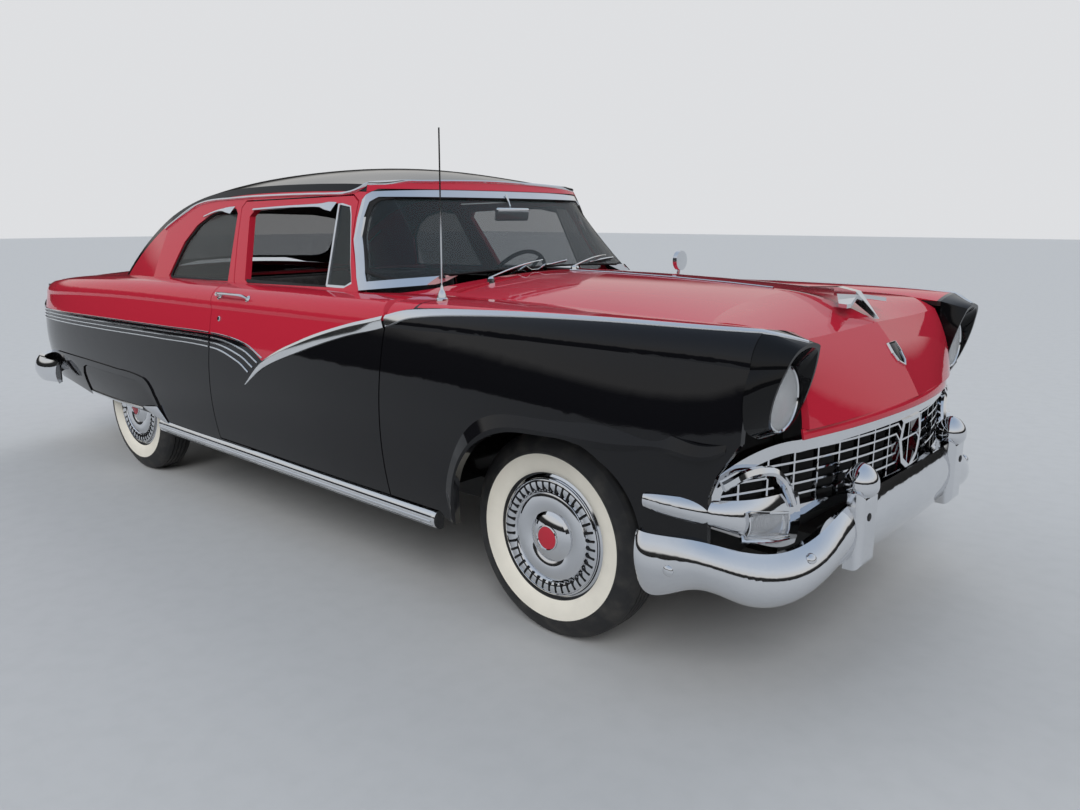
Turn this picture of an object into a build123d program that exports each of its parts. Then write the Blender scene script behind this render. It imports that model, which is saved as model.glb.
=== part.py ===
"""A 1950s two-door family car: separate body panels, glass, cabin, running gear and wheels.

Units are millimetres.  +X is forward, +Y is the car's left side and +Z is up.  The origin is on
the road, under the middle of the car's length and width.
"""
from build123d import *
from collections import namedtuple
import math
import os

os.makedirs("parts", exist_ok=True)

# Overall sizes
LENGTH = 5042
WHEELBASE = 2934
FRONT_AXLE_X = 1650
REAR_AXLE_X = FRONT_AXLE_X - WHEELBASE
TRACK_FRONT = 1473
TRACK_REAR = 1422

# Wheels
TYRE_R = 340
TYRE_WIDTH = 168
BEAD_R = 205
CAP_R = 196
SPINDLE_R = 20
SPINDLE_CLEARANCE = 0.05

# Body shell
SKIN = 20
GAP = 6
DOOR_INNER_Y = 800
DOOR_FRAME_X = 688
HINGE_Z = (560, 880)
HINGE_GAP = 0.7
HOOD_HALF = 634
FENDER_INNER_Y = HOOD_HALF + GAP
COWL_X = 1040
FENDER_REAR_X = 1008
TAIL_X = -2380
DECK_FRONT_X = -1560
GLASS = 6
FRAME_DEPTH = 30

# Steering
KINGPIN_Y = 650

Station = namedtuple(
    "Station", "x low_y low_z wide_y wide_z shoulder_y shoulder_z crest_y crest_z edge_y edge_z centre_z"
)
BODY = (
    Station(-2380, 765, 420, 798, 790, 782, 880, 742, 945, 600, 957, 965),
    Station(-2000, 830, 385, 893, 765, 868, 905, 822, 985, 690, 1000, 1028),
    Station(-1500, 868, 350, 934, 745, 905, 930, 855, 1012, 710, 1030, 1075),
    Station(-1000, 893, 322, 950, 735, 918, 945, 866, 1030, 770, 1045, 1095),
    Station(-300, 903, 305, 957, 728, 924, 952, 870, 1040, 785, 1056, 1110),
    Station(400, 905, 300, 960, 722, 926, 958, 872, 1046, 790, 1062, 1115),
    Station(1000, 905, 300, 962, 718, 925, 966, 870, 1050, 700, 1062, 1120),
    Station(1500, 902, 300, 962, 712, 920, 975, 855, 1056, 640, 1056, 1116),
    Station(1900, 892, 300, 948, 705, 900, 975, 826, 1058, 640, 1046, 1090),
    Station(2150, 868, 300, 915, 700, 868, 968, 796, 1056, 636, 1040, 1050),
    Station(2334, 835, 300, 872, 700, 838, 958, 765, 1050, 598, 1030, 1004),
)

House = namedtuple(
    "House", "z front_x bow_x bow_y bend_x bend_y turn_x turn_y post_x post_y side_y rear_y quarter_y"
)
HOUSE_SIDE_X = -150
HOUSE_REAR_X = -950
HOUSE_QUARTER_X = -1500
HOUSE_END_X = -1720
HOUSE = (
    House(1020, 1090, 1067, 295, 1002, 568, 910, 730, 718, 812, 818, 800, 700),
    House(1250, 865, 848, 270, 800, 500, 725, 635, 585, 717, 724, 706, 610),
    House(1480, 636, 627, 235, 604, 420, 578, 535, 548, 617, 628, 604, 505),
    House(1600, 505, 498, 205, 482, 380, 462, 470, 440, 560, 575, 560, 460),
)

Crown = namedtuple("Crown", "x rail_z centre_z")
ROOF_HALF = 640
CROWN = (
    Crown(-1720, 790, 905),
    Crown(-1450, 1020, 1150),
    Crown(-1250, 1178, 1322),
    Crown(-1000, 1318, 1452),
    Crown(-700, 1412, 1524),
    Crown(-350, 1452, 1553),
    Crown(0, 1461, 1558),
    Crown(350, 1461, 1534),
    Crown(620, 1452, 1483),
    Crown(900, 1400, 1400),
)

HoodRow = namedtuple(
    "HoodRow", "y rear_z mid_z brow_x brow_z knee_x knee_z nose_x nose_z belly_x belly_z lip_x lip_z"
)
HOOD = (
    HoodRow(0, 1120, 1113, 2026, 1091, 2200, 1058, 2329, 1006, 2418, 890, 2478, 786),
    HoodRow(220, 1113, 1106, 2030, 1081, 2196, 1050, 2320, 1000, 2402, 888, 2460, 781),
    HoodRow(440, 1092, 1086, 2050, 1064, 2206, 1044, 2316, 998, 2386, 888, 2430, 775),
    HoodRow(634, 1062, 1053, 2100, 1040, 2230, 1036, 2318, 1005, 2362, 890, 2378, 768),
)
HOOD_MID_X = 1560
HOOD_SKIN = 22
HOOD_EDGE = [(1000, HOOD_HALF), (2180, HOOD_HALF), (2322, 593), (2600, 593)]


def box(x0, x1, y0, y1, z0, z1):
    """A block between two corners."""
    return Pos((x0 + x1) / 2, (y0 + y1) / 2, (z0 + z1) / 2) * Box(x1 - x0, y1 - y0, z1 - z0)


def line(a, b):
    """A straight edge between two points."""
    return Edge.make_line(Vector(*a), Vector(*b))


def arc(a, b, c):
    """A circular edge from a through b to c."""
    return Edge.make_three_point_arc(Vector(*a), Vector(*b), Vector(*c))


def loft_of(wires, ruled=False):
    """A solid lofted through wires in order."""
    return Solid.make_loft(wires, ruled)


def mirrored(shape):
    """The same piece on the other side of the car."""
    return shape.mirror(Plane.XZ)


def both(shape):
    """A piece and its twin as one node."""
    return Compound(list(shape.solids()) + list(mirrored(shape).solids()))


def side_prism(points, y0, y1):
    """A side-view outline given as (x, z), run from y0 to y1."""
    face = Face(Wire.make_polygon([Vector(x, y0, z) for x, z in points], close=True))
    return Solid.extrude(face, Vector(0, y1 - y0, 0))


def front_prism(points, x0, x1):
    """A front-view outline given as (y, z), run from x0 to x1."""
    face = Face(Wire.make_polygon([Vector(x0, y, z) for y, z in points], close=True))
    return Solid.extrude(face, Vector(x1 - x0, 0, 0))


def plan_prism(points, z0, z1):
    """A plan-view outline given as (x, y), run from z0 to z1."""
    face = Face(Wire.make_polygon([Vector(x, y, z0) for x, y in points], close=True))
    return Solid.extrude(face, Vector(0, 0, z1 - z0))


def outline_wire(start, steps, place):
    """A closed outline of lines (one point) and arcs (middle and end point); place puts a point in space."""
    edges, here = [], place(start)
    for step in steps:
        points = [place(point) for point in step]
        edges.append(line(here, points[0]) if len(points) == 1 else arc(here, *points))
        here = points[-1]
    edges.append(line(here, place(start)))
    return Wire(edges)


def outline_prism(start, steps, x0, x1):
    """A front-view outline of lines and arcs, run from x0 to x1."""
    wire = outline_wire(start, steps, lambda point: (x0, *point))
    return Solid.extrude(Face(wire), Vector(x1 - x0, 0, 0))


def side_outline_prism(start, steps, y0, y1):
    """A side-view outline of lines and arcs, run from y0 to y1."""
    wire = outline_wire(start, steps, lambda point: (point[0], y0, point[1]))
    return Solid.extrude(Face(wire), Vector(0, y1 - y0, 0))


def cylinder_between(a, b, radius):
    """A round bar from one point to another."""
    a, b = Vector(*a), Vector(*b)
    return Solid.make_cylinder(radius, (b - a).length, Plane(origin=a, z_dir=b - a))


def grown(points, amount):
    """A closed outline with every side moved out by an amount."""
    area = sum(p[0] * q[1] - q[0] * p[1] for p, q in zip(points, points[1:] + points[:1]))
    sign = 1 if area > 0 else -1
    sides = []
    for p, q in zip(points, points[1:] + points[:1]):
        dx, dz = q[0] - p[0], q[1] - p[1]
        run = math.hypot(dx, dz)
        nx, nz = sign * dz / run, -sign * dx / run
        sides.append((p[0] + nx * amount, p[1] + nz * amount, dx, dz))
    out = []
    for (ax, az, adx, adz), (bx, bz, bdx, bdz) in zip(sides[-1:] + sides[:-1], sides):
        det = adx * bdz - adz * bdx
        t = ((bx - ax) * bdz - (bz - az) * bdx) / det
        out.append((ax + adx * t, az + adz * t))
    return out


def body_wire(s, inset, drop):
    """Half of the body's cross-section at one station, made smaller by an inset."""
    low = (s.x, s.low_y - inset, s.low_z - drop)
    wide = (s.x, s.wide_y - inset, s.wide_z - inset / 2)
    shoulder = (s.x, s.shoulder_y - inset, s.shoulder_z - inset / 2)
    crest = (s.x, s.crest_y - inset / 2, s.crest_z - inset)
    turn = (
        s.x,
        s.crest_y - inset / 2 + 0.68 * (s.shoulder_y - s.crest_y - inset / 2),
        s.shoulder_z - inset / 2 + 0.68 * (s.crest_z - s.shoulder_z - inset / 2),
    )
    edge = (s.x, s.edge_y - inset / 2, s.edge_z - inset)
    sag = (s.x, (crest[1] + edge[1]) / 2, (crest[2] + edge[2]) / 2 + 4)
    centre = (s.x, 0, s.centre_z - inset)
    bow = (s.x, edge[1] / 2, edge[2] + 0.75 * (centre[2] - edge[2]) + 0.01)
    floor = (s.x, 0, s.low_z - drop)
    return Wire([
        line(floor, low), arc(low, wide, shoulder), arc(shoulder, turn, crest),
        arc(crest, sag, edge), arc(edge, bow, centre), line(centre, floor),
    ])


def body_half(inset=0, drop=0):
    """The solid left half of the lower body, made smaller by an inset."""
    return loft_of([body_wire(s, inset, drop) for s in BODY])


def house_wire(h, inset):
    """Half of the cabin's outline at one height."""
    z, i = h.z, inset
    front = (h.front_x - i, 0, z)
    bow = (h.bow_x - i, h.bow_y, z)
    bend = (h.bend_x - i, h.bend_y - 0.3 * i, z)
    turn = (h.turn_x - 0.8 * i, h.turn_y - 0.7 * i, z)
    post = (h.post_x - 0.4 * i, h.post_y - i, z)
    side = (HOUSE_SIDE_X, h.side_y - i, z)
    rear = (HOUSE_REAR_X, h.rear_y - i, z)
    quarter = (HOUSE_QUARTER_X, h.quarter_y - i, z)
    mid = ((HOUSE_REAR_X + HOUSE_QUARTER_X) / 2, (h.rear_y * 0.56 + h.quarter_y * 0.44) - i, z)
    end = (HOUSE_END_X, h.quarter_y - 90 - i, z)
    close = (HOUSE_END_X, 0, z)
    return Wire([
        arc(front, bow, bend), arc(bend, turn, post), arc(post, side, rear), arc(rear, mid, quarter),
        line(quarter, end), line(end, close), line(close, front),
    ])


def house_half(inset=0):
    """The solid left half of the cabin above the belt line."""
    return loft_of([house_wire(h, inset) for h in HOUSE])


def crown_wire(c, drop):
    """The roof's cross-section at one station, closed far below."""
    reach = 1100
    edge_fall = (c.centre_z - c.rail_z) / ROOF_HALF**2
    low = c.centre_z - edge_fall * reach**2
    mid = c.centre_z - edge_fall * (reach * 0.5) ** 2
    left, right = (c.x, reach, low - drop), (c.x, -reach, low - drop)
    top = (c.x, 0, c.centre_z - drop + 0.01)
    base = 500 - drop
    return Wire([
        line((c.x, -reach, base), right), arc(right, top, left),
        line(left, (c.x, reach, base)), line((c.x, reach, base), (c.x, -reach, base)),
    ])


def crown(drop=0):
    """The solid below the roof's top surface."""
    return loft_of([crown_wire(c, drop) for c in CROWN])


OUTER = body_half()
INNER = body_half(SKIN, 60)
HOUSE_OUT = house_half()
HOUSE_IN = house_half(FRAME_DEPTH)
CROWN_OUT = crown()
CROWN_IN = crown(26)
CROWN_SEAT = crown(27)

# Outlines in side view, as (x, z). The door's rear edge is given in the plane y = DOOR_PLANE_Y and leans
# forward towards the inside, so that the door swings free of the quarter panel.
DOOR_PLANE_Y = 1010
DOOR_BACK_Y = 520
DOOR_LEAN = 0.3
DOOR_FRONT = [
    (1002, 371.5), (1002, 990), (962, 1052), (690, 1064), (655, 1110), (566, 1250), (546, 1330), (535, 1392),
    (495, 1415),
]
DOOR_REAR = [
    (-372, 1400), (-390, 1374), (-326, 1233), (-238, 1066), (-207, 1034), (-178, 951), (-166, 800), (-171, 650),
    (-186, 386),
]
DOOR_OUTLINE = DOOR_FRONT + DOOR_REAR
DOOR_WINDOW = [
    (640, 1088), (600, 1160), (520, 1340), (500, 1376), (440, 1388), (-178, 1361), (-203, 1336), (-92, 1070),
    (-66, 1058), (600, 1070),
]
QUARTER_WINDOW = [
    (-226, 1058), (-312, 1350), (-340, 1372), (-440, 1368), (-560, 1345), (-660, 1295), (-735, 1215), (-790, 1060),
    (-770, 1046),
]
SHIELD_OUTLINE = [
    (1200, 1120), (1010, 1116), (900, 1088), (690, 1066), (655, 1112), (576, 1250), (560, 1330), (556, 1400),
    (585, 1440), (1200, 1452),
]


def door_block(gap):
    """The wedge that a door fills, grown by a gap."""
    outline = grown(DOOR_OUTLINE, gap)
    shift = DOOR_LEAN * (DOOR_PLANE_Y - DOOR_BACK_Y)
    inner = [(x + shift if n >= len(DOOR_FRONT) else x, z) for n, (x, z) in enumerate(outline)]
    return loft_of([
        Wire.make_polygon([Vector(x, DOOR_PLANE_Y, z) for x, z in outline], close=True),
        Wire.make_polygon([Vector(x, DOOR_BACK_Y, z) for x, z in inner], close=True),
    ], True)


DOOR_SPACE = door_block(GAP)

# The front wheel opening, as a start point and then lines and arcs.
ARCH_FRONT = ((1330, 200), [((1338, 338),), ((1356, 434),), ((1397, 550), (1467, 638)), ((1554, 688), (1658, 711)),
                            ((1800, 717),), ((1880, 706), (1945, 672)), ((2020, 612), (2062, 530)),
                            ((2090, 420),), ((2120, 300),), ((2120, 200),)])
# The rolled flare over it: its top line on the fender's skin, its lower edge, and how far its ridge stands out.
Flare = namedtuple("Flare", "top_x top_z edge_x edge_z height")
FRONT_FLARE = (
    Flare(1302, 339, 1344, 339, 12), Flare(1310, 436, 1362, 432, 14), Flare(1347, 550, 1405, 546, 15),
    Flare(1400, 646, 1452, 610, 16), Flare(1480, 722, 1520, 666, 16), Flare(1560, 758, 1584, 694, 16),
    Flare(1690, 775, 1696, 708, 16), Flare(1800, 777, 1800, 711, 16), Flare(1900, 776, 1900, 710, 15),
    Flare(2030, 775, 2030, 714, 13), Flare(2150, 772, 2150, 724, 10), Flare(2300, 767, 2300, 744, 5),
)
FLARE_RIDGE = 0.3
REAR_BEAD = ((-2010, 584), [((-1500, 592), (-1090, 588)), ((-930, 588), (-833, 580)), ((-765, 558), (-728, 505)),
                            ((-700, 450), (-690, 402)), ((-1640, 402),), ((-1650, 500), (-1700, 566))])
BEAD_HEIGHT = 7
SKIRT = [
    (-705, 396), (-740, 462), (-785, 515), (-835, 542), (-890, 552), (-1530, 556), (-1580, 540), (-1608, 505),
    (-1615, 460), (-1615, 396),
]
SKIRT_GAP = 4
ARCH_REAR_FOOT = [(-690, 402), (-760, 340), (-760, 200), (-1640, 200), (-1640, 402)]
NOSE_CUT = [(2262, 300), (2262, 622), (2280, 680), (2333, 768), (2500, 768), (2500, 300)]
FENDER_FOOT = [(1000, 280), (1000, 371.5), (1262, 368), (1288, 342), (1340, 338), (1340, 280)]
FENDER_FRONT_FOOT = [(2080, 280), (2080, 385), (2400, 385), (2400, 280)]
BODY_SOLID = OUTER - side_prism(NOSE_CUT, -10, 1010)


def side_y(x, z):
    """How far out the body's side lies at a place in side view, taken between two stations."""
    ahead = next(n for n, s in enumerate(BODY) if s.x >= x)
    back, front = BODY[ahead - 1], BODY[ahead]
    t = (x - back.x) / (front.x - back.x)
    s = Station(*(a + (b - a) * t for a, b in zip(back, front)))
    side = arc((x, s.low_y, s.low_z), (x, s.wide_y, s.wide_z), (x, s.shoulder_y, s.shoulder_z))
    return side.arc_center.Y + math.sqrt(side.radius**2 - (z - side.arc_center.Z) ** 2)


def flare_wire(f):
    """The flare's cross-section: out from the skin to the ridge, in to the edge, then behind the skin."""
    ridge_x = f.edge_x + FLARE_RIDGE * (f.top_x - f.edge_x)
    ridge_z = f.edge_z + FLARE_RIDGE * (f.top_z - f.edge_z)
    top_y, edge_y = side_y(f.top_x, f.top_z), side_y(f.edge_x, f.edge_z)
    return Wire.make_polygon([
        Vector(f.top_x, top_y - 1, f.top_z), Vector(ridge_x, side_y(ridge_x, ridge_z) + f.height, ridge_z),
        Vector(f.edge_x, edge_y + 0.4 * f.height, f.edge_z), Vector(f.edge_x, edge_y - SKIN + 4, f.edge_z),
        Vector(f.top_x, top_y - SKIN + 4, f.top_z),
    ], close=True)


def front_fender(surround):
    """The left front fender with its wheel opening and rolled flare."""
    shell = (OUTER - INNER) & box(FENDER_REAR_X, 2400, 560, 1000, 330, 1200)
    shell = shell + loft_of([flare_wire(f) for f in FRONT_FLARE])
    top = plan_prism(
        [(900, 0), (900, FENDER_INNER_Y), (2180, FENDER_INNER_Y), (2322, 599), (2500, 599), (2500, 0)], 300, 1300)
    for cut in (top, side_prism(NOSE_CUT, 600, 1010), side_prism(FENDER_FOOT, 600, 1010),
                side_prism(FENDER_FRONT_FOOT, 600, 1010), side_outline_prism(*ARCH_FRONT, 600, 1010), surround):
        shell = shell - cut
    return shell.solids().sort_by(SortBy.VOLUME)[-1]


def quarter_lower():
    """The rear side panel below the belt line."""
    shell = (OUTER - INNER) & box(TAIL_X, 80, 560, 1000, 372, 1200)
    shell = shell + ((body_half(-BEAD_HEIGHT) - INNER) & side_outline_prism(*REAR_BEAD, 700, 1010))
    shell = shell - side_prism(grown(SKIRT, SKIRT_GAP), 600, 1010) - side_prism(ARCH_REAR_FOOT, 600, 1010)
    shell = shell - DOOR_SPACE
    deck = box(TAIL_X - 10, 200, 0, 700, 800, 1200)
    shell = shell - deck - HOUSE_IN
    return shell.solids().sort_by(SortBy.VOLUME)[-1]


def wheel_skirts():
    """The flush panels over the rear wheels, each with a flange that lies behind the quarter panel."""
    panel = (OUTER - INNER) & side_prism(SKIRT, 600, 1000)
    flange = (INNER - body_half(SKIN + 8, 60)) & side_prism(grown(SKIRT, SKIRT_GAP + 12), 600, 1000)
    flange = flange & box(-1700, -650, 600, 1000, 404, 700)
    return both((panel + flange).solids().sort_by(SortBy.VOLUME)[-1])


def plate_bracket():
    """A bare plate on the tail with the four standard holes of a number plate."""
    plate = box(TAIL_X - 23.3, TAIL_X - 20.3, -152, 152, 440, 590)
    for y in (-89, 89):
        for z in (454.5, 575.5):
            plate = plate - Pos(TAIL_X - 22, y, z) * Rot(0, 90, 0) * Cylinder(3.5, 20)
    return plate


def side_upper():
    """The rail over the door and the rear pillar, around the quarter window."""
    band = (HOUSE_OUT - HOUSE_IN) & CROWN_SEAT
    band = band & box(-1700, 900, 400, 1000, 1030, 1500)
    band = band - DOOR_SPACE - side_prism(grown(SHIELD_OUTLINE, 1), -10, 1000)
    band = band - side_prism(QUARTER_WINDOW, 400, 1000) - OUTER
    return band.solids().sort_by(SortBy.VOLUME)[-1]


def quarter_panel():
    """The whole left rear side panel."""
    lower, upper = quarter_lower(), side_upper()
    joined = lower + upper
    return joined


def door():
    """The left door: its box below the belt line and its window frame above."""
    lower = OUTER & door_block(0)
    lower = lower & box(-400, 1100, DOOR_INNER_Y, 1000, 300, 1200)
    upper = (HOUSE_OUT - HOUSE_IN) & CROWN_SEAT & door_block(0)
    upper = upper & box(-400, DOOR_FRAME_X, 500, 1000, 1040, 1500)
    upper = upper - side_prism(DOOR_WINDOW, 400, 1000)
    joined = lower + upper
    joined = joined - side_prism(DOOR_WINDOW, 700, 800)
    return joined.solids().sort_by(SortBy.VOLUME)[-1]


def roof():
    """The roof panel with the rear pillars' upper faces."""
    half = (HOUSE_OUT & CROWN_OUT) - CROWN_IN
    half &= box(-1460, 900, 0, 1000, 1000, 1600)
    half = half - side_prism(grown(SHIELD_OUTLINE, 1), -10, 1000)
    half = half - rear_window_cut(0) - OUTER
    return half + mirrored(half)


REAR_WINDOW = [(-20, 1105), (500, 1090), (548, 1120), (520, 1250), (440, 1330), (300, 1352), (-20, 1360)]


def rear_window_cut(amount):
    """The rear window's outline, grown by an amount, as a cutter."""
    points = grown(REAR_WINDOW, amount)
    return front_prism(points, -1700, -700)


def rear_window():
    """The curved back glass."""
    glass = crown(9) - crown(9 + GLASS * 1.4)
    glass = glass & HOUSE_IN & rear_window_cut(-1) & box(-1600, -900, 0, 900, 1000, 1500)
    return glass + mirrored(glass)


def windshield_frame():
    """The bright frame around the windshield."""
    band = (HOUSE_OUT - HOUSE_IN) & side_prism(SHIELD_OUTLINE, -10, 1000) & CROWN_SEAT
    band = band - side_prism(grown(SHIELD_OUTLINE, -30), -10, 1000) - OUTER
    return band + mirrored(band)


def windshield():
    """The wrapped windshield glass."""
    glass = house_half(12) - house_half(12 + GLASS)
    glass = glass & side_prism(grown(SHIELD_OUTLINE, -30.3), -10, 1000)
    return glass + mirrored(glass)


def hood_wire(h):
    """The hood's side profile at one width: outside from cowl to lip, then back along the inside."""
    t = HOOD_SKIN
    rear, mid, brow = (COWL_X + GAP, h.y, h.rear_z), (HOOD_MID_X, h.y, h.mid_z), (h.brow_x, h.y, h.brow_z)
    knee, nose = (h.knee_x, h.y, h.knee_z), (h.nose_x, h.y, h.nose_z)
    belly, lip = (h.belly_x, h.y, h.belly_z), (h.lip_x, h.y, h.lip_z)
    in_lip, in_belly = (h.lip_x - t, h.y, h.lip_z), (h.belly_x - t, h.y, h.belly_z)
    in_nose, in_knee = (h.nose_x - t, h.y, h.nose_z - 14), (h.knee_x - 4, h.y, h.knee_z - t)
    in_brow, in_mid = (h.brow_x, h.y, h.brow_z - t), (HOOD_MID_X, h.y, h.mid_z - t)
    in_rear = (COWL_X + GAP, h.y, h.rear_z - t)
    return Wire([
        arc(rear, mid, brow), arc(brow, knee, nose), arc(nose, belly, lip), line(lip, in_lip),
        arc(in_lip, in_belly, in_nose), arc(in_nose, in_knee, in_brow), arc(in_brow, in_mid, in_rear),
        line(in_rear, rear),
    ])


def hood_half():
    """The left half of the hood, which meets the right half in a ridge."""
    return loft_of([hood_wire(h) for h in HOOD]) & plan_prism([(1000, 0), *HOOD_EDGE, (2600, 0)], 700, 1200)


def hood(half):
    """The whole hood from its left half."""
    return half + mirrored(half)


def cowl(panel):
    """The scuttle and firewall, with the doors' hinge blocks and a ledge that the hood's rear edge rests on."""
    reach = box(690, FENDER_REAR_X - GAP, 0, 790, 900, 1200) + box(900, COWL_X, 0, HOOD_HALF, 900, 1200)
    top = (OUTER - INNER) & reach
    top = top - HOUSE_OUT
    wall = box(1010, 1022, 0, 780, FLOOR_Z, 1200) & INNER
    wall = wall + (box(1010, 1022, 0, HOOD_HALF, FLOOR_Z, 1200) & OUTER)
    wall = wall - box(1000, 1030, -1, TUNNEL_Y, 300, TUNNEL_Z)
    for z in HINGE_Z:
        wall = wall + box(DOOR_FRONT[0][0] + HINGE_GAP, 1016, 760, 850, z - 35, z + 35)
    ledge = panel.moved(Location((0, 0, -HOOD_SKIN - 1))) & box(COWL_X + GAP + 1, COWL_X + 40, 0, 560, 900, 1200)
    shelf = (body_half(HOOD_SKIN + 10) - body_half(2 * HOOD_SKIN + 6)) & box(1021, COWL_X + GAP + 3, 0, 560, 900, 1200)
    half = top + wall + shelf + ledge
    return half + mirrored(half)


def rear_deck():
    """The fixed panel between the back window and the trunk lid."""
    half = (OUTER - INNER) & box(DECK_FRONT_X + 3, -1380, 0, 699, 900, 1200)
    half = half - (HOUSE_OUT & CROWN_OUT)
    return half + mirrored(half)


TRUNK_REAR_X = -2372


def trunk_lid():
    """The trunk lid's top and its face on the tail."""
    top = (OUTER - INNER) & box(-2360, DECK_FRONT_X - GAP, 0, 690, 850, 1200)
    face = box(TRUNK_REAR_X - 12, TRUNK_REAR_X + 12, 0, 560, 600, 964)
    half = top + (face & OUTER.moved(Location((-30, 0, 0))))
    return half + mirrored(half)


def tail_panel():
    """The panel across the tail, open below the lid's face."""
    plate = box(TAIL_X - 20, TAIL_X - 1, 0, 760, 430, 940)
    half = plate - box(TAIL_X - 60, TAIL_X + 60, -1, 568, 592, 1000)
    return half + mirrored(half)


def tyre():
    """A smooth round tyre about the Y axis, with its bead on the rim."""
    w = TYRE_WIDTH / 2
    profile = Wire([
        line((BEAD_R, -w + 22, 0), (BEAD_R, w - 22, 0)),
        arc((BEAD_R, w - 22, 0), (275, w, 0), (TYRE_R - 18, w - 22, 0)),
        arc((TYRE_R - 18, w - 22, 0), (TYRE_R - 5, w - 32, 0), (TYRE_R, w - 45, 0)),
        line((TYRE_R, w - 45, 0), (TYRE_R, -w + 45, 0)),
        arc((TYRE_R, -w + 45, 0), (TYRE_R - 5, -w + 32, 0), (TYRE_R - 18, -w + 22, 0)),
        arc((TYRE_R - 18, -w + 22, 0), (275, -w, 0), (BEAD_R, -w + 22, 0)),
    ])
    return Solid.revolve(Face(profile), 360, Axis.Y)


def rim():
    """The steel wheel: a drop-centre rim, its disc and hub, bored for the spindle."""
    w = TYRE_WIDTH / 2 - 22
    bore = SPINDLE_R + SPINDLE_CLEARANCE
    profile = Wire.make_polygon([
        Vector(x, y, 0) for x, y in (
            (BEAD_R, -w), (BEAD_R, w), (BEAD_R - 8, w + 4), (BEAD_R - 14, w - 4), (BEAD_R - 30, w - 30), (95, 10),
            (60, 24), (bore, 24), (bore, -46), (60, -46), (72, -12), (BEAD_R - 42, -w + 40), (BEAD_R - 14, -w + 4),
            (BEAD_R - 8, -w - 4),
        )
    ], close=True)
    return Solid.revolve(Face(profile), 360, Axis.Y)


def hubcap():
    """The full wheel cap."""
    profile = Wire([
        line((0, 52, 0), (0, 88, 0)),
        arc((0, 88, 0), (40, 85, 0), (72, 74, 0)),
        line((72, 74, 0), (82, 68, 0)),
        arc((82, 68, 0), (120, 76, 0), (150, 68, 0)),
        arc((150, 68, 0), (175, 76, 0), (CAP_R - 2, 69, 0)),
        line((CAP_R - 2, 69, 0), (CAP_R - 3, 56, 0)),
        line((CAP_R - 3, 56, 0), (0, 52, 0)),
    ])
    return Solid.revolve(Face(profile), 360, Axis.Y)


def placed(shape, x, y):
    """A wheel piece, made with its outer face to +Y, set at one corner of the car."""
    piece = shape if y > 0 else mirrored(shape)
    return piece.moved(Location((x, y, TYRE_R)))


def knuckle():
    """The left upright with its spindle; its eyes turn about the kingpin."""
    y = TRACK_FRONT / 2
    spindle = Pos(FRONT_AXLE_X, y - 25, TYRE_R) * Rot(90, 0, 0) * Cylinder(SPINDLE_R, 96)
    post = box(FRONT_AXLE_X - 24, FRONT_AXLE_X + 24, KINGPIN_Y - 24, KINGPIN_Y + 24, 250, 440)
    drum = Pos(FRONT_AXLE_X, y - 54, TYRE_R) * Rot(90, 0, 0) * Cylinder(130, 7)
    arm = box(FRONT_AXLE_X - 150, FRONT_AXLE_X, KINGPIN_Y - 40, KINGPIN_Y - 16, 262, 286)
    return spindle + post + drum + arm


RAIL_Y = 440
JACK_X = (140, 260)


def chassis(bumpers):
    """Two frame rails with cross-members, bumper arms and jacking pads."""
    half = side_prism([
        (2330, 250), (-660, 250), (-1080, 390), (-1500, 390), (-1820, 300), (-2330, 300), (-2330, 370),
        (-1800, 370), (-1480, 460), (-1100, 460), (-690, 338), (2330, 338),
    ], RAIL_Y - 35, RAIL_Y + 35)
    for x in (-300, 500, 1100, 2200):
        half = half + box(x - 35, x + 35, 0, RAIL_Y, 262, 328)
    for x, low, high in ((-2280, 305, 365), (-1000, 398, 428)):
        half = half + box(x - 35, x + 35, 0, RAIL_Y, low, high)
    half = half + box(2260, 2480, RAIL_Y - 30, RAIL_Y + 30, 380, 430)
    half = half + box(2260, 2330, RAIL_Y - 30, RAIL_Y + 30, 300, 430)
    half = half + box(-2440, -2320, RAIL_Y - 30, RAIL_Y + 30, 350, 420) - bumpers
    half = half + box(*JACK_X, RAIL_Y - 35, RAIL_Y + 35, 240, 251)
    half = half.solids().sort_by(SortBy.VOLUME)[-1]
    return half + mirrored(half)


LampRim = namedtuple("LampRim", "bottom_in bottom outer_low outer shoulder turn crest top inner_top inner")
LAMP_Y = 700
LAMP_Z = 868
LAMP_X = 2352
LENS_R = 89
VISOR_LEAN = 0.28
VISOR_X = 2392
LAMP_BACK = LampRim((600, 802), (730, 762), (850, 806), (866, 880), (838, 958), (812, 1018), (765, 1050),
                    (680, 1044), (600, 1030), (599, 915))
LAMP_FRONT = LampRim((622, 800), (700, 772), (782, 806), (808, 880), (788, 962), (766, 998), (730, 1014),
                     (680, 1019), (626, 1006), (599, 900))


def lamp_wire(rim, x, lean, scale=1.0):
    """One outline of the lamp housing, on a plane that leans forward with height."""
    def at(point):
        y, z = (c + (v - c) * scale for v, c in zip(point, (LAMP_Y, LAMP_Z + 22)))
        return (x + lean * (z - 900), y, z)

    return Wire([
        arc(at(rim.bottom_in), at(rim.bottom), at(rim.outer_low)),
        arc(at(rim.outer_low), at(rim.outer), at(rim.shoulder)),
        arc(at(rim.shoulder), at(rim.turn), at(rim.crest)), arc(at(rim.crest), at(rim.top), at(rim.inner_top)),
        arc(at(rim.inner_top), at(rim.inner), at(rim.bottom_in)),
    ])


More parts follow.
